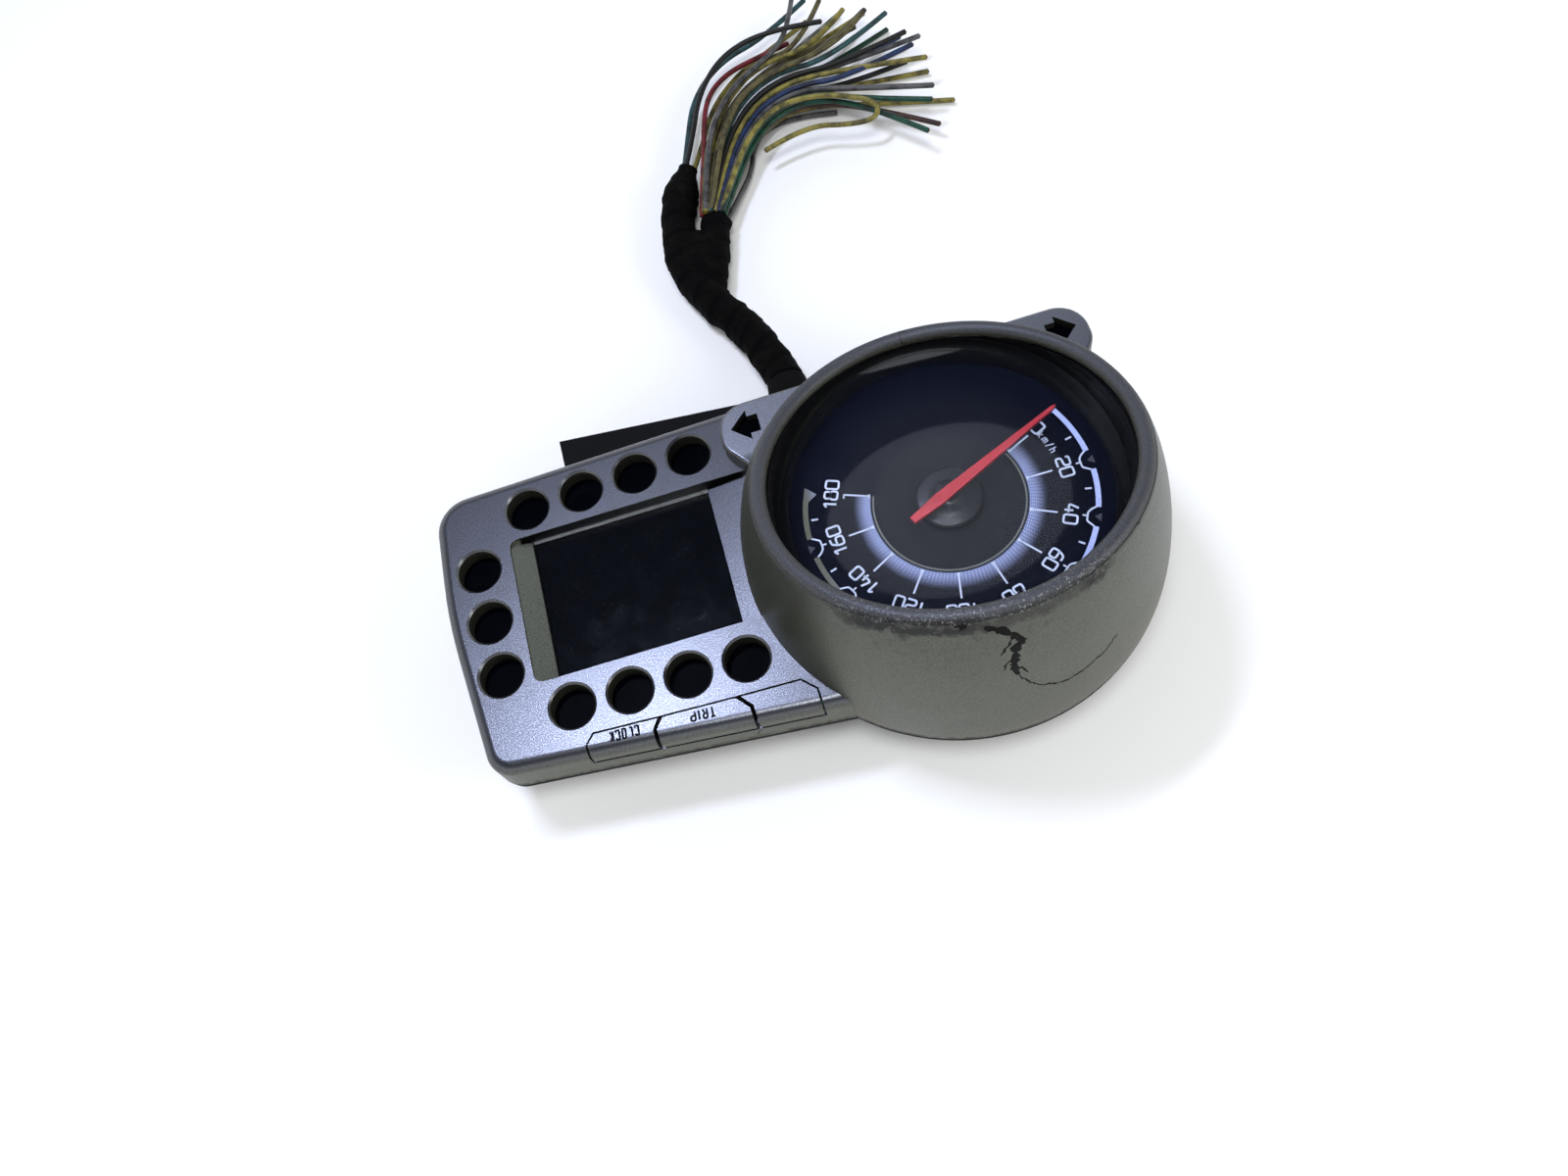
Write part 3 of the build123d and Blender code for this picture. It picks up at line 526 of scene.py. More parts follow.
WIRES = {
    "white": (0.26, 0.26, 0.21), "yellow": (0.25, 0.215, 0.045), "red": (0.20, 0.013, 0.022),
    "green": (0.006, 0.066, 0.038), "blue": (0.012, 0.030, 0.105), "black": (0.005, 0.005, 0.006),
    "teal": (0.020, 0.075, 0.082), "brown": (0.060, 0.024, 0.017), "olive": (0.115, 0.098, 0.036),
    "grey": (0.095, 0.095, 0.10),
}
FINISH = {
    "silver_paint": silver_paint(),
    "black_plastic": moulded("black_plastic", (0.0022, 0.0024, 0.0034), 0.5, dust=0.10,
                             tint=(0.012, 0.012, 0.013), shine=0.07),
    "rubber": moulded("rubber", (0.0030, 0.0030, 0.0034), 0.8, grain=0.06,
                      tint=(0.014, 0.013, 0.011), shine=0.06),
    "carbon": moulded("carbon", (0.02, 0.02, 0.02), 0.6),
    "brass": metal("brass", (0.62, 0.44, 0.19), 0.3),
    "steel": metal("steel", (0.46, 0.46, 0.47), 0.32),
    "clear_plastic": lens_plastic(),
    "lcd_glass": gloss("lcd_glass", (0.0005, 0.0006, 0.0012), 0.08, dust=0.1),
    "dial_print": dial_print(),
    "red_plastic": needle_red(),
    "white_plastic": moulded("white_plastic", (0.62, 0.61, 0.57), 0.45, grain=0.02, dust=0.1,
                             tint=(0.35, 0.33, 0.28)),
    "board": board_mask(),
    "copper": metal("copper", (0.68, 0.32, 0.17), 0.28),
    "magnet": metal("magnet", (0.10, 0.10, 0.11), 0.45),
    "smoked_lens": gloss("smoked_lens", (0.0006, 0.0008, 0.0020), 0.3, dust=0.35, shine=0.006),
    "cloth_tape": cloth_tape(),
}
SKINS = {word: wire_skin(f"wire_{word}", colour) for word, colour in WIRES.items()}
for word in ("white", "yellow", "red", "green", "blue", "black"):
    FINISH[f"wire_{word}"] = SKINS[word]

for part in frame["record"]["subparts"]:
    for held in frame["nodes"][part["node"]].material_slots:
        held.material = FINISH[part["material_slot"]]


# ------------------------------------------------------------------ harness
WIRE_D = 1.7
TRUNK = [
    (10.4, 60.5, 8.6), (8.3, 72.0, 7.2), (3.0, 86.0, 6.0), (-4.0, 98.0, 5.6),
    (-8.5, 111.0, 5.6), (-8.2, 124.0, 5.8), (-4.6, 137.5, 6.2), (0.8, 148.0, 6.8),
]
# plan points along the two sides of the fan of wires
OUTER_GUIDE = [(1.5, 126.9), (4.8, 141.0), (10.0, 156.5), (18.5, 170.5), (31.5, 180.5)]
INNER_GUIDE = [(7.7, 125.1), (14.8, 136.8), (22.8, 148.6), (33.0, 157.2), (46.5, 158.5)]
STUB_WIRES = [                    # bend, cut end, length, colour
    ((47.0, 187.5), (64.0, 197.0), 99.8, "white"), ((51.0, 183.0), (71.0, 190.0), 101.9, "yellow"),
    ((50.0, 178.5), (66.0, 181.5), 93.2, "olive"), ((55.0, 176.0), (77.0, 184.0), 102.7, "green"),
    ((57.0, 171.0), (79.0, 175.5), 101.3, "blue"), ((60.0, 168.5), (84.0, 169.5), 103.8, "grey"),
    ((60.0, 165.0), (84.0, 161.5), 102.0, "yellow"), ((58.0, 163.0), (78.0, 164.5), 93.6, "black"),
    ((59.0, 158.0), (77.0, 150.0), 93.2, "white"), ((64.0, 155.0), (88.0, 147.0), 101.9, "yellow"),
    ((63.0, 150.5), (80.0, 136.0), 97.2, "brown"), ((61.0, 149.0), (75.0, 131.5), 93.7, "green"),
]
LEFT_WIRES = [
    ([(-0.6, 148.7, 5.4), (3.2, 160.0, 5.6), (8.8, 176.0, 6.0), (21.0, 188.5, 6.0), (38.0, 193.0, 6.0),
      (54.0, 202.0, 7.5)], 81.6, "teal"),
    ([(0.8, 148.0, 8.8), (5.6, 158.5, 9.6), (11.5, 173.5, 11.0), (22.5, 185.0, 12.5), (39.0, 188.0, 13.5),
      (56.0, 185.5, 12.5)], 76.9, "black"),
    ([(2.2, 147.3, 5.4), (7.4, 158.0, 4.0), (13.0, 171.0, 3.0), (23.5, 183.0, 2.4), (38.0, 190.5, 2.2),
      (53.0, 198.0, 2.0)], 74.9, "yellow"),
]


def spline_curve(name, points, diameter):
    """Curve of one NURBS spline with the route's points as its control points."""
    data = bpy.data.curves.new(name, "CURVE")
    data.dimensions = "3D"
    data.resolution_u = 20
    data.bevel_depth = diameter / 2 * MM
    data.bevel_resolution = 3
    data.use_fill_caps = diameter > 0
    spline = data.splines.new("NURBS")
    spline.points.add(len(points) - 1)
    for held, point in zip(spline.points, points):
        held.co = (*(c * MM for c in point), 1.0)
    spline.order_u = 3
    spline.use_endpoint_u = True
    return bpy.data.objects.new(name, data)


def spline_points(points):
    """Points read from the route's NURBS spline, in millimetres."""
    guide = spline_curve("guide", points, 0)
    scene.collection.objects.link(guide)
    bpy.context.view_layer.update()
    line = bpy.data.meshes.new_from_object(guide)
    found = [v.co / MM for v in line.vertices]
    bpy.data.objects.remove(guide)
    return found


def tube(name, line, radius_at, material, around=40, squash=1.0, **options):
    """Closed tube along a line; radius_at(distance, turn) gives its radius, squash its height."""
    verts, faces = [], []
    travelled = 0.0
    for i, p in enumerate(line):
        if i:
            travelled += (p - line[i - 1]).length
        along = (line[min(i + 1, len(line) - 1)] - line[max(i - 1, 0)]).normalized()
        side = along.cross(Vector((0, 0, 1))).normalized()
        over = side.cross(along)
        for k in range(around):
            turn = k / around
            r = radius_at(travelled, turn)
            verts.append(p + side * (cos(2 * pi * turn) * r) + over * (sin(2 * pi * turn) * r * squash))
    for i in range(len(line) - 1):
        for k in range(around):
            a, b = i * around + k, i * around + (k + 1) % around
            faces.append((a, b, b + around, a + around))
    for ring, flip in ((0, True), (len(line) - 1, False)):
        verts.append(line[ring])
        centre = len(verts) - 1
        for k in range(around):
            a, b = ring * around + k, ring * around + (k + 1) % around
            faces.append((centre, b, a) if flip else (centre, a, b))
    return mesh_piece(name, verts, faces, material, smooth=True, **options)


def wrapped(base, total, pitch, lap, seed, lumps=0.35, taper=(0.0, 0.0)):
    """Radius of a bundle wound with overlapping tape; taper is the share lost at each end."""
    run = 9.0                     # length over which an end tapers

    def radius_at(travelled, turn):
        lean = travelled / pitch + turn + 0.12 * noise.noise(Vector((travelled * 0.12, seed, 0.0)))
        step = lean % 1.0
        ridge = lap * (1.0 - step) ** 0.6 * min(1.0, step * 14.0)
        angle = 2 * pi * turn
        lump = noise.noise(Vector((travelled * 0.13, cos(angle) * 0.9 + seed, sin(angle) * 0.9)))
        crease = noise.noise(Vector((travelled * 0.6, cos(angle) * 2.4, sin(angle) * 2.4 + seed)))
        r = base + ridge + lumps * 2.0 * lump + lumps * 0.7 * crease
        for length, share in ((travelled, taper[0]), (total - travelled, taper[1])):
            if share and length < run:
                r *= 1.0 - share * (1.0 - sin(pi / 2 * max(length, 0.0) / run))
        return r

    return radius_at


def taped(name, line, winding, **options):
    return tube(name, line, winding, FINISH["cloth_tape"], slot="cloth_tape", **options)


trunk_line = spline_points(TRUNK)
trunk = taped("trunk", trunk_line, wrapped(5.0, 91.0, 7.5, 0.5, 3.0, taper=(0.0, 0.42)))
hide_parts("harness_trunk")

# short branch that leaves the trunk, the wad of tape round the split, and the tape at both mouths
stub_line = spline_points([(-3.2, 98.5, 5.6), (-0.4, 108.0, 5.8), (2.4, 117.5, 6.1), (4.6, 126.0, 6.3)])
stub = taped("branch", stub_line, wrapped(4.35, 28.5, 6.5, 0.45, 9.0, lumps=0.3, taper=(0.0, 0.12)))
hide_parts("taped_stub")
wad_line = spline_points([(-3.6, 100.5, 5.9), (-4.2, 106.0, 5.9), (-4.6, 112.0, 5.9), (-4.2, 118.5, 6.0),
                          (-3.4, 122.5, 6.1)])
wad = taped("split_wrap", wad_line, wrapped(7.6, 22.3, 8.5, 0.45, 21.0, lumps=0.55, taper=(0.45, 0.4)),
            around=48, squash=0.70)
collar_line = spline_points([(2.7, 117.8, 6.1), (3.6, 121.0, 6.2), (4.4, 124.6, 6.3)])
collar = taped("branch_wrap", collar_line, wrapped(5.0, 7.0, 5.0, 0.35, 33.0, lumps=0.3, taper=(0.5, 0.0)))
lump_line = spline_points([(-6.6, 130.5, 6.1), (-5.2, 135.5, 6.2), (-3.2, 140.0, 6.4), (-1.0, 144.0, 6.6)])
lump = taped("trunk_wrap", lump_line, wrapped(5.6, 14.6, 6.0, 0.35, 41.0, lumps=0.3, taper=(0.35, 0.35)))

cut_ends = []


def wire(name, points, colour, node=None):
    """One cut wire: its spline and its finish."""
    obj = spline_curve(name, points, WIRE_D)
    obj.data.materials.append(SKINS[colour])
    link(obj)
    if node:
        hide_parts(node)
    cut_ends.append((Vector(points[-1]), (Vector(points[-1]) - Vector(points[-2])).normalized()))


def fan(share, start_z, end_z):
    """Five points from the branch's mouth, a share of the way from the outer to the inner guide."""
    return [(a[0] + (b[0] - a[0]) * share, a[1] + (b[1] - a[1]) * share,
             start_z + (end_z - start_z) * step / 5)
            for step, (a, b) in enumerate(zip(OUTER_GUIDE, INNER_GUIDE))]


for i, (bend, end, length, colour) in enumerate(STUB_WIRES):
    layer = i % 3
    z0, z1 = 4.4 + 1.9 * layer, (1.8, 5.2, 8.6)[layer]
    route = fan(i / (len(STUB_WIRES) - 1), z0, z1) + [(*bend, z1), (*end, z1 + 0.6 * layer)]
    wire(f"lead_{i + 1:02d}", route, colour, f"wire_{i + 1:02d}")
for i, (route, length, colour) in enumerate(LEFT_WIRES):
    wire(f"lead_{i + 13:02d}", route, colour, f"wire_{i + 13:02d}")

# the rest of the loom, laid over and beside those
LOOSE = [                         # share between the guides, height at the bend, bend, end, length, colour
    (0.05, 10.4, (46.0, 179.0), (58.0, 196.0), 92.0, "olive"),
    (0.14, 11.4, (51.0, 177.0), (64.0, 188.0), 91.0, "yellow"),
    (0.27, 10.6, (52.0, 173.5), (70.0, 185.5), 96.0, "olive"),
    (0.38, 10.8, (55.0, 170.5), (76.5, 181.5), 98.0, "teal"),
    (0.50, 10.6, (57.0, 167.5), (80.0, 171.5), 98.5, "black"),
    (0.62, 10.7, (58.0, 164.5), (83.0, 158.5), 98.5, "yellow"),
    (0.73, 10.6, (57.0, 161.0), (80.5, 165.5), 95.0, "blue"),
    (0.84, 10.9, (58.0, 155.5), (81.5, 146.5), 94.0, "grey"),
    (0.95, 10.6, (58.5, 151.5), (79.5, 141.5), 93.0, "green"),
]
for i, (share, height, bend, end, length, colour) in enumerate(LOOSE):
    route = fan(share, 10.1, height) + [(*bend, height), (*end, height + 0.8)]
    wire(f"lead_{i + 16:02d}", route, colour)
STRAYS = [
    ([(0.9, 126.8, 8.6), (3.6, 137.0, 9.4), (7.0, 149.0, 9.6), (9.9, 162.4, 8.6), (13.6, 173.1, 8.4),
      (21.0, 180.0, 8.2), (31.0, 183.0, 8.0), (44.0, 185.2, 8.0)], 80.0, "red"),
    ([(8.0, 125.4, 5.0), (13.6, 133.6, 3.4), (19.9, 143.0, 2.4), (22.6, 151.6, 1.6), (27.4, 158.6, 1.4),
      (39.0, 160.6, 1.2), (52.0, 157.0, 1.2)], 63.0, "grey"),
    ([(7.3, 126.0, 10.0), (14.5, 137.4, 11.6), (22.6, 149.3, 12.2), (33.0, 157.4, 12.3), (46.5, 156.6, 12.2),
      (57.0, 151.5, 12.2), (63.5, 146.5, 11.8), (61.8, 141.4, 11.0), (54.0, 142.6, 10.0), (40.0, 148.4, 9.4),
      (25.9, 144.6, 8.2)], 116.0, "yellow"),
    ([(2.6, 127.6, 10.2), (6.4, 141.0, 12.2), (12.0, 156.4, 13.0), (21.0, 168.6, 13.0), (33.0, 176.0, 12.8),
      (41.0, 181.5, 12.6), (46.0, 190.0, 12.4), (49.5, 199.0, 12.2)], 90.0, "grey"),
    ([(4.4, 127.2, 10.2), (9.6, 139.8, 12.4), (15.8, 154.0, 13.2), (25.0, 166.0, 13.2), (37.4, 170.8, 13.0),
      (52.0, 172.6, 12.8), (64.0, 178.6, 12.6), (70.4, 184.6, 12.6)], 93.0, "olive"),
]
for i, (route, length, colour) in enumerate(STRAYS):
    wire(f"lead_{i + 25:02d}", route, colour)


def wire_strands():
    """Seven copper strands that show in each cut end."""
    strand, ring = 0.16, 0.34     # radius of a strand, and of the ring of six round the middle one
    turns = [k * pi / 3 for k in range(6)]
    verts, faces = [], []
    for centre, along in cut_ends:
        side = along.cross(Vector((0, 0, 1))).normalized()
        over = side.cross(along)
        spots = [(0.0, 0.0)] + [(ring * cos(t), ring * sin(t)) for t in turns]
        for n, (a, b) in enumerate(spots):
            middle = centre + side * a + over * b - along * 0.3
            base = len(verts)
            for reach in (0.0, 0.45 + 0.1 * ((n * 5) % 3)):
                verts += [middle + along * reach + side * (strand * cos(t)) + over * (strand * sin(t))
                          for t in turns]
            faces += [(base + k, base + (k + 1) % 6, base + 6 + (k + 1) % 6, base + 6 + k) for k in range(6)]
            faces += [tuple(base + k for k in reversed(range(6))), tuple(base + 6 + k for k in range(6))]
    copper = metal("strand_copper", (0.16, 0.085, 0.055), 0.5)
    mesh_piece("wire_strands", verts, faces, copper, slot="copper")


wire_strands()


# --------------------------------------------------------------- lettering
GLYPHS = {                        # polylines in a unit box, width 1 by height 1; True closes the line
    "0": [([(0, 0), (1, 0), (1, 1), (0, 1)], True)],
    "1": [([(0.05, 0.74), (0.62, 1), (0.62, 0)], False)],
    "2": [([(0.02, 0.76), (0.02, 1), (1, 1), (1, 0.5), (0, 0.42), (0, 0), (1, 0)], False)],
    "4": [([(0.38, 1), (0, 0.28), (1, 0.28)], False), ([(0.74, 0.62), (0.74, 0)], False)],
    "6": [([(0.9, 1), (0.32, 1), (0, 0.5), (0, 0), (1, 0), (1, 0.56), (0.04, 0.56)], False)],
    "8": [([(0, 0), (1, 0), (1, 0.54), (0, 0.54)], True),
          ([(0.08, 0.54), (0.92, 0.54), (0.92, 1), (0.08, 1)], True)],
    "k": [([(0, 0), (0, 1)], False), ([(0.8, 0.68), (0.05, 0.32), (0.85, 0)], False)],
    "m": [([(0, 0), (0, 0.66), (0.55, 0.66), (0.55, 0)], False),
          ([(0.55, 0.66), (1.1, 0.66), (1.1, 0)], False)],
    "/": [([(0, -0.1), (0.6, 1.05)], False)],
    "h": [([(0, 0), (0, 1)], False), ([(0, 0.62), (0.8, 0.62), (0.8, 0)], False)],
    "C": [([(1, 0.78), (1, 1), (0, 1), (0, 0), (1, 0), (1, 0.22)], False)],
    "L": [([(0, 1), (0, 0), (0.9, 0)], False)],
    "O": [([(0, 0), (1, 0), (1, 1), (0, 1)], True)],
    "K": [([(0, 0), (0, 1)], False), ([(0.95, 1), (0.08, 0.5), (0.95, 0)], False)],
    "T": [([(0, 1), (1, 1)], False), ([(0.5, 1), (0.5, 0)], False)],
    "R": [([(0, 0), (0, 1), (1, 1), (1, 0.5), (0, 0.5)], False), ([(0.5, 0.5), (1, 0)], False)],
    "I": [([(0.5, 0), (0.5, 1)], False)],
    "P": [([(0, 0), (0, 1), (1, 1), (1, 0.45), (0, 0.45)], False)],
}
# widths of the letters that differ from the rest
NARROW = {"1": 0.72, "I": 0.35, "m": 1.15, "/": 0.6}


def write(solids, text, centre, reading, height, stroke, low, high, wide, gap=0.0):
    """A line of text about a plan centre; reading is its direction, in degrees.

    wide is the width of a letter and gap the space after it, both as shares of the height.
    """
    right = Vector((cos(radians(reading)), sin(radians(reading))))
    up = Vector((-right.y, right.x))
    tall = height - stroke
    widths = [tall * wide * NARROW.get(c, 1.0) for c in text]
    step = gap * height + stroke
    total = sum(widths) + step * (len(text) - 1)
    cursor = -total / 2
    for char, width in zip(text, widths):
        for points, closed in GLYPHS[char]:
            squeeze = width / NARROW.get(char, 1.0) if char in ("m", "/") else width
            placed = [Vector(centre) + right * (cursor + x * squeeze) + up * ((y - 0.5) * tall)
                      for x, y in points]
            solids.stroke(rounded(placed, height * 0.17, closed), stroke, low, high, closed)
        cursor += width + step


def at(radius, angle):
    """Plan point about the dial axis."""
    return Vector((DIAL_X + radius * cos(radians(angle)), DIAL_Y + radius * sin(radians(angle))))


def arc(radius, start, end, step=1.5):
    """Plan points about every step degrees along an arc about the dial axis."""
    count = max(1, int(abs(end - start) / step))
    return [at(radius, start + (end - start) * i / count) for i in range(count + 1)]


# ---------------------------------------------------------------- dial print
PRINT_LOW, PRINT_HIGH = Z_DIAL + 0.01, Z_DIAL + 0.06
white_ink = ink("dial_white", (0.46, 0.49, 0.60), 0.85)
# the band's ink carries painted shade on its left part
band_ink = ink("dial_band", (0.36, 0.40, 0.68), 0.8, painted_shade=(0.085, 0.085, 0.062))
beige_ink = ink("dial_beige", (0.13, 0.13, 0.115))
grey_ink = ink("dial_grey", (0.05, 0.05, 0.06))
ZERO, PER_MARK = 24.35, 25.15     # angle of the 0 mark, and from one mark to the next
MARKS = [ZERO - PER_MARK * i for i in range(10)]
LAST = MARKS[-1]
NOTCH = 4.2                       # angle from a mark to the band on either side
RAIL = ((34.7, 4.3), (33.6, 3.2), (32.8, 1.6), (32.8, -2.4), (34.7, -4.3))   # radius, angle from the mark

white, band, beige, grey = Solids(), Solids(), Solids(), Solids()
for i, mark in enumerate(MARKS):
    white.stroke([at(20.0, mark), at(25.8, mark)], 0.42, PRINT_LOW, PRINT_HIGH)
    white.prism([at(19.3, mark + 1.5), at(19.3, mark - 1.5), at(20.9, mark)], PRINT_LOW, PRINT_HIGH)
    write(white, str(20 * i), at(28.95, mark), mark - 90, 3.7, 0.5, PRINT_LOW, PRINT_HIGH,
          wide=0.70, gap=0.04)
white.stroke([at(25.75, LAST + 2.2), at(25.75, LAST - 0.3)], 0.4, PRINT_LOW, PRINT_HIGH)
for k, char in enumerate("km/h"):
    turn = 20.2 - 3.5 * k
    write(white, char, at(28.3, turn), turn - 90, 2.1, 0.25, PRINT_LOW, PRINT_HIGH, wide=0.55)
beige.stroke(arc(18.45, ZERO + 0.2, LAST - 0.2, 2.5), 0.42, PRINT_LOW, PRINT_HIGH)

# outer band, broken by a notch at each mark
for i, mark in enumerate(MARKS[:-1]):
    start = mark - NOTCH if i else mark + 2.2
    band.stroke(arc(35.15, start, MARKS[i + 1] + NOTCH), 1.3, PRINT_LOW, PRINT_HIGH)
    half = mark - PER_MARK / 2
    white.stroke([at(32.2, half), at(33.8, half)], 0.45, PRINT_LOW, PRINT_HIGH)
    if i:
        rail = [at(r, mark + turn) for r, turn in RAIL]
        white.stroke(rounded(rail, 0.4), 0.42, PRINT_LOW, PRINT_HIGH)
        white.stroke([at(31.6, mark), at(32.7, mark)], 0.4, PRINT_LOW, PRINT_HIGH)
        grey.prism([at(34.4, mark), at(36.1, mark + 1.8), at(36.1, mark - 1.8)], PRINT_LOW, PRINT_HIGH)
beige.stroke([at(34.4, ZERO + 2.4), at(36.0, ZERO + 2.9)], 0.6, PRINT_LOW, PRINT_HIGH)
band.prism([at(32.6, LAST + 0.4), at(35.8, LAST - 2.2), at(35.8, LAST + 4.4), at(34.5, LAST + 4.4)],
           PRINT_LOW, PRINT_HIGH)
white.piece("dial_figures", white_ink, slot="dial_print")
band.piece("dial_scale_band", band_ink, slot="dial_print")
beige.piece("dial_inner_ring", beige_ink, slot="dial_print")
grey.piece("dial_wedges", grey_ink, slot="dial_print")


def hub_cover():
    """Domed cover under the needle."""
    profile = [                   # radius, height
        (8.1, 41.62), (8.1, 41.75), (7.4, 41.95), (5.6, 42.2),
        (4.4, 42.5), (3.7, 43.1), (3.0, 43.6), (2.3, 43.85),
    ]
    around = 64
    turns = [2 * pi * k / around for k in range(around)]
    verts, faces = [], []
    for r, z in profile:
        verts += [(DIAL_X + r * cos(t), DIAL_Y + r * sin(t), z) for t in turns]
    for ring in range(len(profile) - 1):
        low, high = ring * around, (ring + 1) * around
        faces += [(low + k, low + (k + 1) % around, high + (k + 1) % around, high + k) for k in range(around)]
    faces += [tuple(reversed(range(around))), tuple(high + k for k in range(around))]
    black = gloss("hub_black", (0.006, 0.006, 0.008), 0.32, dust=0.2, shine=0.3)
    mesh_piece("hub_cover", verts, faces, black, body="needle_assembly", slot="black_plastic", smooth=True)


hub_cover()


# ------------------------------------------------------------- button words
LABELS = (                        # word, centre, width of a letter as a share of its height, button
    ("CLOCK", (-91.7 + DIAL_X, -29.75 + DIAL_Y), 0.34, "clock"),
    ("TRIP", (-72.0 + DIAL_X, -30.7 + DIAL_Y), 0.44, "trip"),
)
LABEL_READING = 177.5             # direction in which the words run, in degrees
LABEL_DEPTH = 0.03                # depth of the ink, and the gap under it
label_ink = ink("label_ink", (0.002, 0.002, 0.004), 0.7)


def surface_tree(node):
    """Search tree of a CAD node's mesh, in millimetres."""
    mesh = frame["nodes"][node].data
    return BVHTree.FromPolygons([v.co / MM for v in mesh.vertices], [p.vertices[:] for p in mesh.polygons])


for word, centre, wide, button in LABELS:
    letters = Solids()
    write(letters, word, centre, LABEL_READING, 2.9, 0.5, 0.0, LABEL_DEPTH, wide=wide, gap=0.1)
    below = surface_tree(f"button_{button}")
    for n, (x, y, z) in enumerate(letters.verts):
        top = below.ray_cast(Vector((x, y, 60.0)), Vector((0, 0, -1)))[0]
        letters.verts[n] = (x, y, top.z + z + LABEL_DEPTH)
    letters.piece(f"{button}_word", label_ink, body=f"{button}_button", slot="black_plastic")

# ---------------------------------------------------------- cracks and chips
cover_tree = surface_tree("front_cover")


def on_cover(point, towards):
    """Where a ray from a point meets the cover, and the surface normal there."""
    return cover_tree.ray_cast(Vector(point), Vector(towards).normalized())[:2]


def on_drum(angle, height):
    """The same, for a level ray from outside towards the dial axis."""
    out = Vector((cos(radians(angle)), sin(radians(angle)), 0.0))
    return on_cover(Vector((DIAL_X, DIAL_Y, height)) + out * 80.0, -out)


def crack(solids, line, width, seed):
    """Jagged dark ribbon laid on the surface along (point, normal) pairs."""
    pace, spread = 0.7, 0.35      # length of a jag, and how far it strays sideways
    lift, sunk = 0.03, 0.05       # of the ribbon's top and underside from the surface
    rng = random.Random(seed)
    points = []
    for (a, na), (b, nb) in zip(line, line[1:]):
        count = max(2, int((b - a).length / pace))
        for k in range(count):
            t = k / count
            normal = (na * (1 - t) + nb * t).normalized()
            side = (b - a).cross(normal).normalized()
            points.append((a * (1 - t) + b * t + side * rng.uniform(-spread, spread), normal))
    points.append(line[-1])
    base, count = len(solids.verts), len(points)
    for i, (p, normal) in enumerate(points):
        after, before = points[min(i + 1, count - 1)][0], points[max(i - 1, 0)][0]
        side = (after - before).cross(normal).normalized()
        half = width / 2 * (0.25 + 0.75 * rng.random()) * (0.35 if i in (0, count - 1) else 1.0)
        p = cover_tree.find_nearest(p)[0] or p
        solids.verts += [p - side * half - normal * sunk, p + side * half - normal * sunk,
                         p + side * half + normal * lift, p - side * half + normal * lift]
    solids.join_sections(base, count)


DRUM_CRACKS = (                   # (angle, height) along each line, width
    ([(262.6, 71.5), (267.0, 69.3), (270.5, 66.5), (272.0, 64.3), (270.2, 62.2), (269.5, 59.0),
      (268.8, 55.0), (270.0, 51.2)], 2.4),
    ([(269.4, 66.9), (271.6, 64.3), (270.6, 61.8), (269.0, 58.4), (269.3, 54.6), (269.6, 51.6)], 2.2),
    ([(270.0, 51.2), (272.0, 46.8), (274.8, 43.2), (278.6, 40.6), (282.9, 38.9), (288.8, 39.1),
      (294.5, 40.4), (299.0, 43.0)], 0.75),
    ([(270.5, 66.5), (268.0, 63.5), (266.0, 60.5)], 0.8),
    ([(255.0, 72.6), (256.6, 72.2), (258.2, 72.5)], 2.2),
    ([(269.5, 59.0), (267.2, 57.0), (266.4, 54.4)], 0.7),
    ([(268.8, 55.0), (271.5, 53.4), (272.4, 51.0)], 0.9),
    ([(86.0, 51.2), (88.6, 50.9), (91.0, 51.3)], 0.4),
    ([(314.6, 70.2), (316.4, 69.7)], 0.8),
)
WALL_CRACK = ((-19.9, 26.4), (-20.8, 25.0), (-21.2, 23.2), (-22.4, 20.2))   # x, z on the panel's wall
DRUM_SEED, WALL_SEED = 11, 31

cracks = Solids()
for n, (path, width) in enumerate(DRUM_CRACKS):
    crack(cracks, [on_drum(*p) for p in path], width, DRUM_SEED + n)
crack(cracks, [on_cover((x, -90.0, z), (0, 1, 0)) for x, z in WALL_CRACK], 0.35, WALL_SEED)
cracks.piece("cover_cracks", ink("crack_dark", (0.003, 0.003, 0.0028), 0.5), slot="black_plastic")


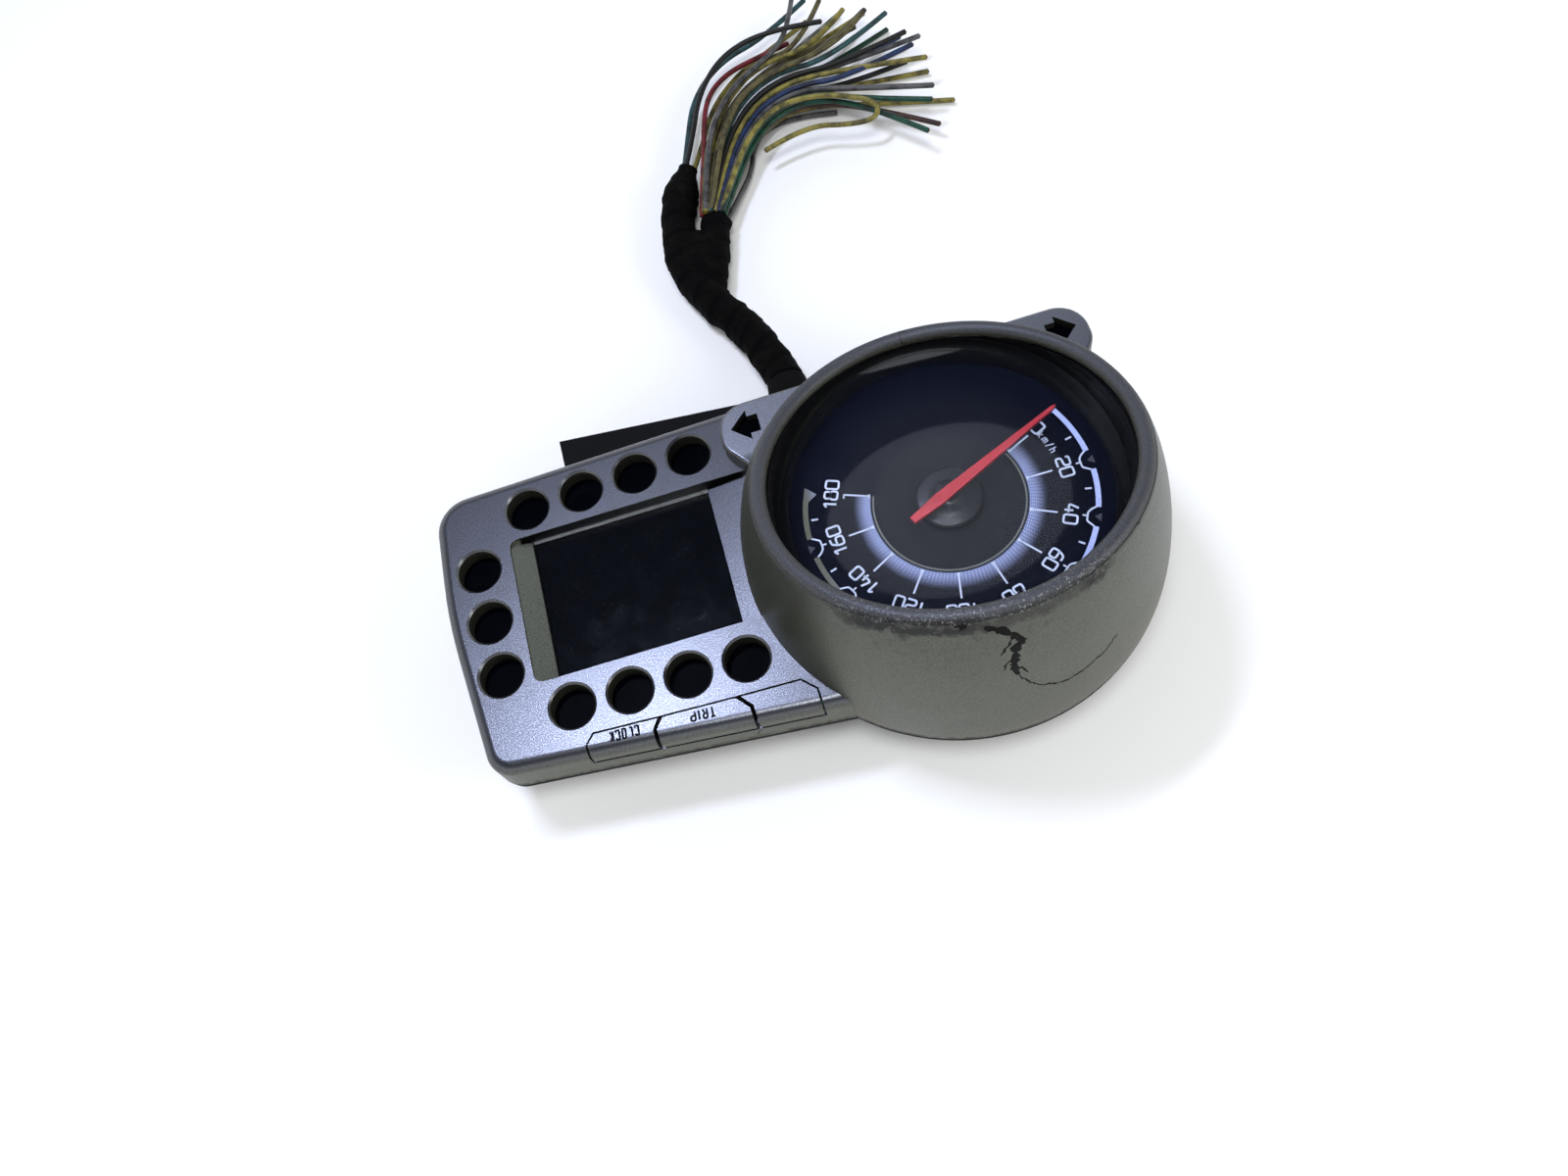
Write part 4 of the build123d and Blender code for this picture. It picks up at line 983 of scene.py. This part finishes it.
# ------------------------------------------------------------------- studio
def stage_floor():
    mesh = bpy.data.meshes.new("floor")
    half = 2.5
    corners = [(-half, -half, 0), (half, -half, 0), (half, half, 0), (-half, half, 0)]
    mesh.from_pydata(corners, [], [(0, 1, 2, 3)])
    s = Shade("floor", Roughness=0.85)
    s.set("Base Color", s.mix(s.noise(0.004, 3.0), (0.90, 0.90, 0.90), (0.94, 0.94, 0.94)))
    mesh.materials.append(s.material)
    floor = bpy.data.objects.new("floor", mesh)
    floor.location.z = -0.0002
    scene.collection.objects.link(floor)


def lamp(name, place, aim, size, power, colour, shape="DISK", size_y=None):
    data = bpy.data.lights.new(name, "AREA")
    data.shape, data.size, data.energy, data.color = shape, size, power, colour
    if size_y:
        data.size_y = size_y
    obj = bpy.data.objects.new(name, data)
    obj.location = place
    obj.rotation_euler = (Vector(aim) - Vector(place)).to_track_quat("-Z", "Y").to_euler()
    scene.collection.objects.link(obj)


def sky():
    """Bright low surround that darkens overhead, so the tops stay deep and the walls read."""
    world = bpy.data.worlds.new("studio")
    scene.world = world
    world.use_nodes = True
    tree = world.node_tree
    coord, split = tree.nodes.new("ShaderNodeTexCoord"), tree.nodes.new("ShaderNodeSeparateXYZ")
    ramp = tree.nodes.new("ShaderNodeValToRGB")
    tree.links.new(coord.outputs["Generated"], split.inputs[0])
    tree.links.new(split.outputs[2], ramp.inputs[0])
    tree.links.new(ramp.outputs[0], tree.nodes["Background"].inputs[0])
    ramp.color_ramp.elements[0].position = 0.30
    ramp.color_ramp.elements[0].color = (1.5, 1.5, 1.44, 1.0)
    ramp.color_ramp.elements[1].position = 0.80
    ramp.color_ramp.elements[1].color = (0.022, 0.026, 0.045, 1.0)
    middle = ramp.color_ramp.elements.new(0.62)
    middle.color = (0.40, 0.41, 0.46, 1.0)


stage_floor()
sky()
lamp("strip", (-0.175, 0.235, 0.80), (-0.04, -0.03, 0.03), 0.20, 3.3, (0.72, 0.78, 1.0), "RECTANGLE", 0.05)
lamp("back", (0.08, 0.64, 0.80), (0.04, 0.03, 0.03), 0.60, 0.35, (0.90, 0.95, 1.0), "RECTANGLE", 0.25)
lamp("overhead", (0.0, -0.18, 0.90), (0.03, 0.0, 0.03), 0.30, 3.2, (0.98, 0.99, 1.0))
lamp("side", (0.75, -0.45, 0.55), (0.03, 0.0, 0.03), 0.35, 2.5, (1.0, 1.0, 0.93))
